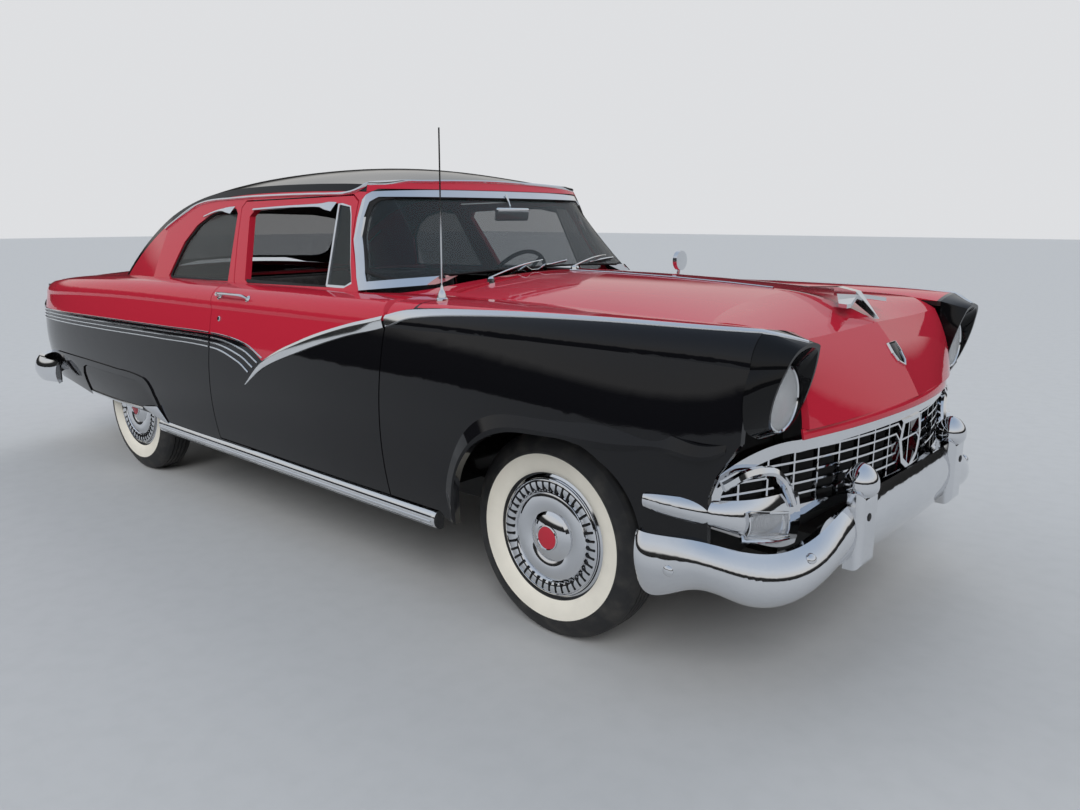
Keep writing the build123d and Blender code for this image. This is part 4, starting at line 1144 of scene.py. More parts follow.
@dataclass
class WindowTrim:
    """Drip rail, vent window, rain shades and belt rubber around the side windows of one side."""

    palette: Palette
    side: Side
    rail: Table = (
        (0.640, 0.000, 1.478), (0.636, 0.200, 1.4765), (0.619, 0.400, 1.4715), (0.600, 0.500, 1.468),
        (0.572, 0.590, 1.461), (0.530, 0.655, 1.452), (0.450, 0.690, 1.444), (0.30, 0.690, 1.441),
        (0.108, 0.690, 1.440), (-0.363, 0.690, 1.432), (-0.704, 0.680, 1.403), (-0.95, 0.680, 1.285),
        (-1.20, 0.68, 1.135), (-1.38, 0.69, 1.01),
    )
    vent: Table = (
        (0.487, 1.071), (0.600, 1.071), (0.636, 1.090), (0.596, 1.163), (0.516, 1.342), (0.496, 1.374),
        (0.418, 1.385),
    )
    door_shade: Table = (
        (-0.185, 1.366, 0.005), (0.0, 1.373, 0.006), (0.209, 1.379, 0.007), (0.310, 1.380, 0.010),
        (0.350, 1.378, 0.020), (0.400, 1.374, 0.024),
    )
    quarter_shade: Table = (
        (-0.600, 1.336, 0.004), (-0.52, 1.356, 0.005), (-0.450, 1.366, 0.007), (-0.400, 1.366, 0.016),
        (-0.352, 1.364, 0.021),
    )
    step: float = 0.03
    belt: float = 1.02
    belt_out: float = 0.818
    tumblehome: float = 0.411
    bow: float = 0.016
    bow_middle: float = -0.15

    def flank(self, x: float, z: float, inset: float = 0.0) -> Vector:
        """A place on the side windows' slanting plane."""
        bow = self.bow * (x - self.bow_middle) ** 2
        return self.side.of((x, self.belt_out - self.tumblehome * (z - self.belt) - bow - inset, z))

    def build(self) -> None:
        """Make the trim."""
        word, door, chrome = self.side.word, f"door_{self.side.word}", self.palette.chrome
        top = Skin("roof", f"quarter_panel_{word}")
        seats = [top.near(self.side.of(p)) for p in smooth_path(self.rail, self.step)]
        piece(f"drip_rail_{word}", ribbon(seats, 0.0060, 0.0095), chrome)
        up = (self.side.out + Vector((0, 0, 0.41))).normalized()
        glass = slab([self.flank(x, z, 0.012) for x, z in self.vent], up * 0.005)
        piece(f"vent_glass_{word}", glass, self.palette.glass, door)
        line = [(self.flank(x, z, 0.008), up) for x, z in (*self.vent, self.vent[0])]
        rim = [ribbon(pair, 0.0055, 0.007, FLAT) for pair in zip(line, line[1:])]
        piece(f"vent_frame_{word}", gathered(rim), chrome, door)
        piece(f"door_shade_{word}", self.shade(self.door_shade), chrome, door)
        piece(f"quarter_shade_{word}", self.shade(self.quarter_shade), chrome)
        seats = [(self.flank(x, 1.0635, 0.013), up) for x in (-0.085, 0.1, 0.3, 0.485)]
        piece(f"belt_rubber_{word}", ribbon(seats, 0.008, 0.010, FLAT), self.palette.rubber, door)

    def shade(self, knots: Table) -> bmesh.types.BMesh:
        """A rain shade through knots of x, z and half its width."""
        lean = (self.side.out + Vector((0, 0, 0.85))).normalized()
        path = smooth_path(knots, self.step)
        return sweep([Station(self.flank(x, z, -0.006), lean, half, 0.0018) for x, z, half in path], FLAT)


@dataclass
class DoorHardware:
    """Handle, locks and inner card of one door.

    A row of the grip is x and its share of the stand-off; a row of the pads is x and radius.
    """

    palette: Palette
    side: Side
    grip: Table = (
        (-0.100, 0.0), (-0.088, 0.75), (-0.05, 1.0), (0.01, 1.0), (0.07, 1.0), (0.106, 0.75), (0.120, 0.0),
    )
    grip_z: float = 1.008
    stand_off: float = 0.030
    pads: Table = ((-0.102, 0.017), (0.120, 0.014))
    button: Table = ((0.0, 0.0), (0.0, 0.0095), (0.020, 0.0095), (0.023, 0.007), (0.024, 0.0))
    lock: Table = ((-0.002, 0.0), (-0.002, 0.011), (0.003, 0.011), (0.006, 0.008), (0.006, 0.0))
    lock_at: tuple[float, float] = (-0.083, 0.915)
    card: Table = ((-0.140, 0.42), (0.93, 0.42), (0.93, 0.93), (0.60, 1.015), (-0.19, 1.015), (-0.165, 0.80))
    card_out: float = 0.7992
    roll_heights: tuple[float, ...] = (0.60, 0.66, 0.72)

    def build(self) -> None:
        """Make the hardware."""
        word, body, side = self.side.word, f"door_{self.side.word}", self.side
        skin = Skin(body)
        seats = [skin.beside(x, self.grip_z, side) for x, _ in self.grip]
        points = [place + up * self.stand_off * share for (place, up), (_, share) in zip(seats, self.grip)]
        handle = [rod(points, 0.0085, 0.012, 0.65)]
        for x, reach in self.pads:
            pad = ((-0.003, 0.0), (-0.003, reach), (0.003, reach), (0.006, reach * 0.7), (0.007, 0.0))
            handle.append(lathe(pad, *skin.beside(x, self.grip_z, side), 24))
        handle.append(lathe(self.button, *skin.beside(self.pads[0][0], self.grip_z, side), 20))
        handle.append(lathe(self.lock, *skin.beside(*self.lock_at, side), 24))
        piece(f"door_handle_{word}", gathered(handle), self.palette.chrome, body)
        out = self.card_out
        soft = [slab([side.of((x, out, z)) for x, z in self.card], side.out * -0.006, 0.002)]
        for z in self.roll_heights:
            seats = [(side.of((x, out - 0.004, z)), -side.out) for x in (-0.11, 0.3, 0.90)]
            soft.append(ribbon(seats, 0.004, 0.004))
        piece(f"door_card_{word}", gathered(soft), self.palette.card, body)
        rest = block(side.of((0.20, out - 0.030, 0.77)), (0.30, 0.048, 0.045), 0.012)
        piece(f"arm_rest_{word}", rest, self.palette.card, body)


@dataclass
class Tyre:
    """One tyre: sidewalls with raised rings, a pale band and a tread of zigzag grooves."""

    palette: Palette
    corner: str
    bead: Table = (
        (0.0605, 0.2045), (0.0665, 0.2075), (0.0690, 0.2095), (0.0772, 0.2260), (0.0812, 0.2440),
        (0.0830, 0.2600), (0.0832, 0.2710), (0.0838, 0.2720), (0.0839, 0.2790), (0.0825, 0.2805),
        (0.0782, 0.3000), (0.0662, 0.3185), (0.0655, 0.3200), (0.0630, 0.3225), (0.0585, 0.3300),
        (0.0540, 0.3345), (0.0460, 0.3382),
    )
    tread: float = 0.3398
    tread_half: float = 0.04
    depth: float = 0.0065
    grooves: tuple[float, ...] = (0.031, 0.0105)
    groove_half: float = 0.0026
    groove_floor: float = 0.6
    zigzag: float = 0.0022
    steps: int = 96

    def build(self) -> None:
        """Make the tyre."""
        hub = Vector(WHEEL_CENTRES[self.corner])
        half = list(self.bead)
        top, floor = self.tread, self.tread - self.depth
        wide, narrow = self.groove_half, self.groove_half * self.groove_floor
        for at in self.grooves:
            half += [(at + wide, top), (at + narrow, floor), (at - narrow, floor), (at - wide, top)]
        mirrored = [(-y, r) for y, r in reversed(half)]
        bm = lathe([*half, *mirrored, half[0]], hub, (0, 1, 0), self.steps)
        for v in bm.verts:
            arm = v.co - hub
            turn = round(math.atan2(arm.z, arm.x) / (2 * math.pi) * self.steps)
            if abs(arm.y) < self.tread_half:
                v.co.y += self.zigzag * (1 if turn % 2 else -1)
        name = f"tyre_{self.corner}"
        piece(f"tread_{name}", bm, self.palette.tyres[self.corner], f"wheel_{self.corner}", (name,), 28)


@dataclass
class WheelDress:
    """What stands on one wheel cap: a ring of black bars that are painted shade for its radial slots, bright
    rings and a medallion.

    The boss and the medallion are given from the top of the cap's middle, the rings from the hub.
    """

    palette: Palette
    corner: str
    slots: int = 40
    slot_in: float = 0.150
    slot_out: float = 0.184
    rings: tuple[Table, ...] = (
        ((0.058, 0.1525), (0.0735, 0.1495), (0.0765, 0.1465), (0.0735, 0.1435), (0.058, 0.1415)),
        ((0.058, 0.1935), (0.0745, 0.1915), (0.0762, 0.1885), (0.0735, 0.1865), (0.058, 0.1855)),
    )
    boss: Table = ((-0.012, 0.044), (0.001, 0.042), (0.0025, 0.039), (0.0, 0.0365), (-0.012, 0.036))
    medallion: Table = ((-0.012, 0.0), (-0.012, 0.0368), (-0.0004, 0.0365), (0.0018, 0.020), (0.0022, 0.0))

    def build(self) -> None:
        """Make the pieces."""
        hub = Vector(WHEEL_CENTRES[self.corner])
        out = 1 if hub.y > 0 else -1
        axis, body = (0, out, 0), f"wheel_{self.corner}"
        skin = Skin(body)
        face = self.seat(skin, hub, (self.slot_in + self.slot_out) / 2, out)
        # Black bars on the cap's face: painted shade where open slots would show the dark inside of the
        # wheel.
        fin = bmesh.new()
        bmesh.ops.create_cube(fin, size=1)
        bmesh.ops.scale(fin, vec=(self.slot_out - self.slot_in, 0.006, 0.0085), verts=fin.verts)
        rounded(fin, 0.0022, 1)
        bmesh.ops.translate(fin, verts=fin.verts, vec=(face.x, face.y - out * 0.0004, face.z))
        bmesh.ops.spin(
            fin, geom=fin.verts[:] + fin.edges[:] + fin.faces[:], cent=hub, axis=axis, angle=2 * math.pi,
            steps=self.slots, use_duplicate=True, use_merge=False)
        bmesh.ops.remove_doubles(fin, verts=fin.verts, dist=0.00001)
        bmesh.ops.recalc_face_normals(fin, faces=fin.faces)
        piece(f"cap_slots_{self.corner}", fin, self.palette.black, body)
        top = self.seat(skin, hub, 0.001, out).y * out - abs(hub.y)
        rings = [lathe(ring, hub, axis, 72) for ring in self.rings]
        rings.append(lathe([(top + along, r) for along, r in self.boss], hub, axis))
        piece(f"cap_rings_{self.corner}", gathered(rings), self.palette.chrome, body)
        disc = lathe([(top + along, r) for along, r in self.medallion], hub, axis, 40)
        piece(f"cap_medallion_{self.corner}", disc, self.palette.red, body)

    def seat(self, skin: Skin, hub: Vector, ahead: float, out: int) -> Vector:
        """The place on the cap's face that is so far ahead of the hub."""
        return skin.cast(hub + Vector((ahead, out * 0.3, 0)), (0, -out, 0))[0]


@dataclass
class Lamps:
    """Headlamps, parking lamps and tail lamps."""

    palette: Palette
    head: Point = (2.352, 0.700, 0.868)
    head_lens: Table = (
        (0.0040, 0.0), (0.0040, 0.0845), (0.0075, 0.0845), (0.0128, 0.070), (0.0175, 0.050), (0.0205, 0.028),
        (0.0216, 0.010), (0.0220, 0.0),
    )
    head_ring: Table = (
        (-0.006, 0.0835), (0.009, 0.0835), (0.0125, 0.0860), (0.0115, 0.0900), (0.006, 0.0935),
        (-0.006, 0.0935), (-0.006, 0.0835),
    )
    head_bowl: Table = (
        (0.0030, 0.0843), (0.0022, 0.070), (0.0008, 0.045), (0.0002, 0.018), (0.0002, 0.0), (-0.004, 0.0),
        (-0.004, 0.0843), (0.0030, 0.0843),
    )
    tail: Point = (-2.400, 0.712, 0.800)
    tail_bezel: Table = (
        (0.0, 0.0785), (0.020, 0.0785), (0.032, 0.074), (0.037, 0.068), (0.037, 0.064), (0.028, 0.062),
        (0.0, 0.062), (0.0, 0.0785),
    )
    tail_lens: Table = (
        (0.004, 0.0), (0.004, 0.0622), (0.027, 0.0622), (0.033, 0.052), (0.0345, 0.040), (0.031, 0.031),
        (0.031, 0.0),
    )
    tail_inner: Table = ((0.028, 0.0), (0.028, 0.0305), (0.034, 0.0305), (0.0362, 0.020), (0.037, 0.0))
    lens_line: Table = ((0.668, 0.515), (0.735, 0.527), (0.800, 0.541))
    lens_frame: Table = ((0.660, 0.547), (0.812, 0.577), (0.806, 0.512), (0.655, 0.484))
    ledge: Table = ((0.655, 0.480), (0.735, 0.492), (0.812, 0.508))
    arch: Table = (
        (2.285, 0.861, 0.649), (2.315, 0.807, 0.673), (2.330, 0.735, 0.671), (2.345, 0.695, 0.661),
        (2.355, 0.658, 0.630), (2.365, 0.638, 0.593), (2.370, 0.626, 0.562),
    )
    step: float = 0.012

    def build(self) -> None:
        """Make every lamp."""
        for side in Side:
            self.headlamp(side)
            self.parking_lamp(side)
            self.tail_lamp(side)

    def headlamp(self, side: Side) -> None:
        """A fluted lens in a bright ring, with a silvered bowl behind it.

        Args:
            side: the side that it is on.
        """
        word, place, ahead = side.word, side.of(self.head), (1, 0, 0)
        replaced = ("headlamps",) if side is Side.LEFT else ()
        lens = lathe(self.head_lens, place, ahead)
        piece(f"headlamp_lens_{word}", lens, self.palette.clear, "body", replaced)
        piece(f"headlamp_ring_{word}", lathe(self.head_ring, place, ahead, 64), self.palette.chrome)
        piece(f"headlamp_bowl_{word}", lathe(self.head_bowl, place, ahead), self.palette.mirror)

    def parking_lamp(self, side: Side) -> None:
        """A clear four-cornered lens let into the pod, its bright frame and ledge, and the arch above it.

        Args:
            side: the side that it is on.
        """
        pod = Skin("lamp_pods")
        lens, ledge = (
            [pod.ahead(y * side.value, z) for y, z in smooth_path(line, self.step)]
            for line in (self.lens_line, self.ledge)
        )
        piece(f"parking_lens_{side.word}", ribbon(lens, 0.029, 0.008, FLAT), self.palette.clear)
        corners = [Vector((0, y, z)) for y, z in (*self.lens_frame, self.lens_frame[0])]
        frame_seats = [pod.ahead(p.y * side.value, p.z) for p in respaced(corners, self.step)]
        rim = [ribbon(frame_seats, 0.0042, 0.010, RIB, True), ribbon(ledge, 0.005, 0.020)]
        piece(f"parking_rim_{side.word}", gathered(rim), self.palette.chrome)
        ahead = side.of((0.9, -0.25, 0.35)).normalized()
        arch = smooth_path([side.of(p) for p in self.arch], 0.015)
        brow = ribbon([(p, ahead) for p in arch], 0.014, 0.013)
        piece(f"pod_brow_{side.word}", brow, self.palette.chrome)

    def tail_lamp(self, side: Side) -> None:
        """A domed red lens in a stepped bright bezel, with a small clear lamp in the middle.

        Args:
            side: the side that it is on.
        """
        word, place, back = side.word, side.of(self.tail), (-1, 0, 0)
        replaced = ("tail_lamps",) if side is Side.LEFT else ()
        bezel = lathe(self.tail_bezel, place, back, 64)
        piece(f"tail_lamp_bezel_{word}", bezel, self.palette.chrome, "body", replaced)
        piece(f"tail_lamp_lens_{word}", lathe(self.tail_lens, place, back), self.palette.red_lens)
        piece(f"reversing_lens_{word}", lathe(self.tail_inner, place, back, 36), self.palette.clear)


@dataclass
class FrontTrim:
    """Bumper bolts, guard plugs, the hood's lip, ridge strip and plain crest, and the antenna's base."""

    palette: Palette
    corner_bolt: tuple[float, float] = (2.179, 0.412)
    face_bolt: tuple[float, float] = (0.670, 0.439)
    plug: Table = ((-0.003, 0.0), (-0.003, 0.012), (0.0015, 0.012), (0.003, 0.009), (0.003, 0.0))
    plug_at: tuple[float, float] = (0.414, 0.50)
    lip: Table = (
        (2.375, -0.6, 0.754), (2.430, -0.4, 0.762), (2.462, -0.2, 0.768), (2.472, 0, 0.769),
        (2.462, 0.2, 0.768), (2.430, 0.4, 0.762), (2.375, 0.6, 0.754),
    )
    ridge: tuple[float, ...] = (1.06, 1.3, 1.55, 1.8, 1.965)
    antenna_foot: Table = (
        (-0.004, 0.0), (-0.004, 0.020), (0.004, 0.020), (0.009, 0.016), (0.012, 0.016), (0.030, 0.009),
        (0.034, 0.006), (0.052, 0.004), (0.054, 0.0),
    )
    antenna_at: Point = (1.160, -0.800, 1.060)
    crest: Table = (
        (0.0, 0.878), (0.026, 0.892), (0.034, 0.915), (0.030, 0.944), (-0.030, 0.944), (-0.034, 0.915),
        (-0.026, 0.892),
    )

    def build(self) -> None:
        """Make the pieces."""
        bumper, nose, guards = Skin("front_bumper"), Skin("hood"), Skin("front_guards")
        heads, plugs = [], []
        for side in Side:
            y, z = self.face_bolt
            for seat in (bumper.beside(*self.corner_bolt, side), bumper.ahead(y * side.value, z)):
                heads.append(lathe(BOLT_HEAD, *seat, 24))
            y, z = self.plug_at
            plugs.append(lathe(self.plug, *guards.ahead(y * side.value, z), 24))
        piece("front_bumper_bolts", gathered(heads), self.palette.chrome)
        piece("guard_plugs", gathered(plugs), self.palette.rubber)
        ahead = Vector((1, 0, 0.2)).normalized()
        valance = ribbon([(p, ahead) for p in smooth_path(self.lip, 0.05)], 0.015, 0.004, FLAT)
        piece("hood_valance", valance, self.palette.red)
        line = [nose.cast((x, 0.0, 2.0), (0, 0, -1))[0] for x in self.ridge]
        ridge = ribbon([(p, Vector((0, 0, 1))) for p in line], 0.005, 0.005)
        piece("hood_ridge_strip", ridge, self.palette.trim, "hood")
        self.crest_plate(nose)
        foot = lathe(self.antenna_foot, self.antenna_at, (0, 0, 1), 32)
        piece("antenna_base", foot, self.palette.chrome)

    def crest_plate(self, nose: Skin) -> None:
        """A plain shield on the hood's nose in a bright rim.

        Args:
            nose: the hood's surface.
        """
        places = [nose.ahead(y, z)[0] for y, z in self.crest]
        lift = Vector((0.9, 0, 0.25)).normalized()
        plate = slab([p - lift * 0.004 for p in places], lift * 0.0075, 0.0015)
        piece("crest_plate", plate, self.palette.black, "hood")
        ring = [(p, lift) for p in (*places, places[0])]
        rim = [ribbon(pair, 0.0032, 0.006) for pair in zip(ring, ring[1:])]
        piece("crest_rim", gathered(rim), self.palette.chrome, "hood")


@dataclass
class RearTrim:
    """Bolts of the rear bumper, the trunk lid's handle and the plate lamp.

    A row of the grip is y and how far it stands off the lid.
    """

    palette: Palette
    bolts: Table = ((0.62, 0.464), (0.25, 0.464))
    grip: Table = ((-0.07, 0.0), (-0.055, 0.016), (0.0, 0.022), (0.055, 0.016), (0.07, 0.0))
    grip_z: float = 0.72

    def build(self) -> None:
        """Make the pieces."""
        bumper = Skin("rear_bumper")
        seats = [bumper.behind(y * side.value, z) for side in Side for y, z in self.bolts]
        heads = [lathe(BOLT_HEAD, *seat, 24) for seat in seats]
        piece("rear_bumper_bolts", gathered(heads), self.palette.chrome)
        back = Skin("trunk_lid").behind(0.0, self.grip_z)[0].x
        grip = [(back - off, y, self.grip_z) for y, off in self.grip]
        piece("trunk_handle", rod(grip, 0.009, 0.01, 0.7), self.palette.chrome, "trunk_lid")
        low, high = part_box("plate_bracket")
        lamp = block(((low.x + high.x) / 2 - 0.004, 0, high.z + 0.012), (0.030, 0.090, 0.022), 0.006)
        piece("plate_lamp", lamp, self.palette.chrome)


@dataclass
class Wipers:
    """Two wipers at rest on the windshield's foot."""

    palette: Palette
    arms: tuple[tuple[Point, Point], ...] = (
        ((1.035, -0.438, 1.093), (0.948, -0.060, 1.150)), ((1.030, 0.060, 1.118), (0.900, 0.440, 1.160)),
    )
    blades: tuple[tuple[Point, Point], ...] = (
        ((1.000, -0.210, 1.136), (0.950, 0.098, 1.147)), ((0.950, 0.260, 1.137), (0.885, 0.520, 1.150)),
    )
    pivot: Table = ((-0.006, 0.0), (-0.006, 0.016), (0.012, 0.013), (0.018, 0.006), (0.019, 0.0))
    stand_off: float = 0.016
    bulge: float = 0.02
    arm_parts: int = 6
    blade_parts: int = 8

    def build(self) -> None:
        """Make the arms and the blades."""
        glass, base = Skin("windshield"), Skin("cowl", "windshield_frame")
        metal, rubber = [], []
        for start, end in self.arms:
            place, up = base.near(start)
            raised = place + up * self.stand_off
            tip = glass.near(end)[0] + Vector((0.7, 0, 0.7)) * self.stand_off
            points = []
            for n in range(self.arm_parts + 1):
                share = n / self.arm_parts
                bulge = Vector((0.5, 0, 0.5)) * self.bulge * math.sin(math.pi * share)
                points.append(raised.lerp(tip, share) + bulge)
            metal += [rod(points, 0.0042, 0.02, 0.7), lathe(self.pivot, place, up, 24)]
        for start, end in self.blades:
            shares = [n / self.blade_parts for n in range(self.blade_parts + 1)]
            line = [glass.near(Vector(start).lerp(Vector(end), share)) for share in shares]
            metal.append(ribbon([(p + up * 0.010, up) for p, up in line], 0.003, 0.003))
            rubber.append(ribbon([(p + up * 0.0045, up) for p, up in line], 0.0022, 0.0045, FLAT))
        piece("wiper_arms", gathered(metal), self.palette.trim)
        piece("wiper_blades", gathered(rubber), self.palette.rubber)


@dataclass(frozen=True)
class Pane:
    """A fixed window: its name, its node, what frames it, a place in its middle and the way that looks in."""

    name: str
    node: str
    frames: tuple[str, ...]
    middle: Point
    look_in: Point


@dataclass
class GlassRubber:
    """The black seals that the panes lie in, along the line where each pane goes under what frames it."""

    palette: Palette
    panes: tuple[Pane, ...] = (
        Pane("windshield_rubber", "windshield", ("windshield_frame", "cowl"), (0.8, 0.0, 1.28), (-1, 0, 0)),
        Pane("rear_window_rubber", "rear_window", ("roof", "rear_deck"), (-1.2, 0.0, 1.24), (1, 0, 0)),
        Pane(
            "quarter_rubber_left", "quarter_glass", ("quarter_panel_left", "roof"), (-0.55, 0.7, 1.17),
            (0, -1, 0)),
        Pane(
            "quarter_rubber_right", "quarter_glass", ("quarter_panel_right", "roof"), (-0.55, -0.7, 1.17),
            (0, 1, 0)),
    )
    half: float = 0.0075
    rise: float = 0.004
    rays: int = 160
    stride: float = 0.01
    step: float = 0.025

    def build(self) -> None:
        """Make the seals of every pane."""
        for pane in self.panes:
            glass, frames = Skin(pane.node), Skin(*pane.frames)
            ring = [self.edge(pane, glass, frames, 2 * math.pi * n / self.rays) for n in range(self.rays)]
            found = [glass.near(point) for point in respaced([*ring, ring[0]], self.step)]
            seats = [(place, up if up.dot(Vector(pane.look_in)) < 0 else -up) for place, up in found]
            piece(pane.name, ribbon(seats, self.half, self.rise, RIB, True), self.palette.rubber)

    def edge(self, pane: Pane, glass: Skin, frames: Skin, turn: float) -> Vector:
        """The last place that shows of a pane, going out from its middle.

        Args:
            pane: the window.
            glass: its surface.
            frames: the surfaces of what frames it.
            turn: the way to go, as an angle in radians.

        Returns:
            The place on the pane.
        """
        way, aloft = Vector(pane.look_in), Vector((0, 0, 1))
        arm = way.cross(aloft) * math.cos(turn) + aloft * math.sin(turn)
        reach, stride, seen = 0.0, self.stride, Vector(pane.middle)
        while stride > self.stride / 20:
            start = Vector(pane.middle) - way * 2 + arm * (reach + stride)
            gap = glass.distance(start, way)
            if gap < frames.distance(start, way):
                reach += stride
                seen = start + way * gap
            else:
                stride /= 2
        return seen


@dataclass
class Cabin:
    """Dashboard fittings, mirror, pedals and visors.

    A row of the knobs is y and z, of the pads y and width.
    """

    palette: Palette
    dash: float = 0.699
    dials: tuple[Point, ...] = ((0.699, 0.44, 0.925), (0.699, 0.30, 0.925))
    bezel: Table = (
        (-0.004, 0.0), (-0.004, 0.058), (0.010, 0.058), (0.014, 0.054), (0.008, 0.050), (0.008, 0.0),
    )
    dial: Table = ((0.0, 0.0), (0.0, 0.0495), (0.0092, 0.0495), (0.0092, 0.0))
    knob: Table = (
        (-0.004, 0.0), (-0.004, 0.006), (0.016, 0.006), (0.018, 0.012), (0.030, 0.012), (0.033, 0.0),
    )
    knobs: Table = ((0.14, 0.87), (0.07, 0.87), (-0.07, 0.87), (-0.14, 0.87), (0.55, 0.86))
    strip_heights: tuple[float, ...] = (0.835, 0.985)
    pads: Table = ((0.50, 0.07), (0.36, 0.09))

    def build(self) -> None:
        """Make the fittings."""
        self.dashboard()
        mirror = [block((0.735, 0.0, 1.345), (0.020, 0.200, 0.055), 0.009, 0.15)]
        mirror.append(rod(((0.700, 0.0, 1.430), (0.715, 0.0, 1.395), (0.728, 0.0, 1.362)), 0.005))
        piece("inside_mirror", gathered(mirror), self.palette.chrome)
        visors = [block((0.470, y, 1.412), (0.150, 0.430, 0.014), 0.006, 0.10) for y in (0.30, -0.30)]
        piece("sun_visors", gathered(visors), self.palette.card)
        pedals = [block((0.79, y, 0.47), (0.016, wide, 0.085), 0.006, 0.6) for y, wide in self.pads]
        pedals.append(block((0.80, 0.24, 0.44), (0.016, 0.055, 0.19), 0.006, 0.8))
        pedals += [rod(((0.79, y, 0.48), (0.90, y, 0.56), (1.010, y, 0.62)), 0.007) for y, _ in self.pads]
        pedals.append(rod(((0.80, 0.24, 0.44), (0.90, 0.24, 0.44), (1.010, 0.24, 0.46)), 0.007))
        piece("pedals", gathered(pedals), self.palette.rubber)

    def dashboard(self) -> None:
        """Make what stands on the dashboard."""
        dash = self.dash
        piece("dash_dials", self.turned(self.bezel, self.dials, 40), self.palette.chrome)
        piece("dial_faces", self.turned(self.dial, self.dials, 40), self.palette.black)
        knobs = [(dash - 0.002, y, z) for y, z in self.knobs]
        piece("dash_knobs", self.turned(self.knob, knobs, 20), self.palette.chrome)
        strips = [block((dash - 0.001, 0.0, z), (0.008, 1.30, 0.006), 0.002) for z in self.strip_heights]
        strips.append(block((dash + 0.002, 0.0, 0.925), (0.014, 0.22, 0.065), 0.006))
        piece("dash_strips", gathered(strips), self.palette.trim)
        lid = block((dash + 0.001, -0.42, 0.915), (0.012, 0.36, 0.115), 0.005)
        piece("glove_lid", lid, self.palette.cabin)

    def turned(self, profile: Table, places: Sequence[Point], steps: int) -> bmesh.types.BMesh:
        """A profile turned at several places, facing the seats."""
        return gathered([lathe(profile, place, (-1, 0, 0), steps) for place in places])


@dataclass(frozen=True)
class Cushion:
    """One padded piece: its middle and size in metres, its lean in degrees and its number of rolls."""

    name: str
    centre: Point
    size: Point
    lean: float
    rolls: int

    @property
    def flat(self) -> int:
        """The number of the axis that the cushion is thin along."""
        return 0 if self.size[0] < self.size[2] else 2

    @property
    def turn(self) -> Matrix:
        """Its lean as a matrix."""
        return Euler((0, math.radians(self.lean), 0)).to_matrix()


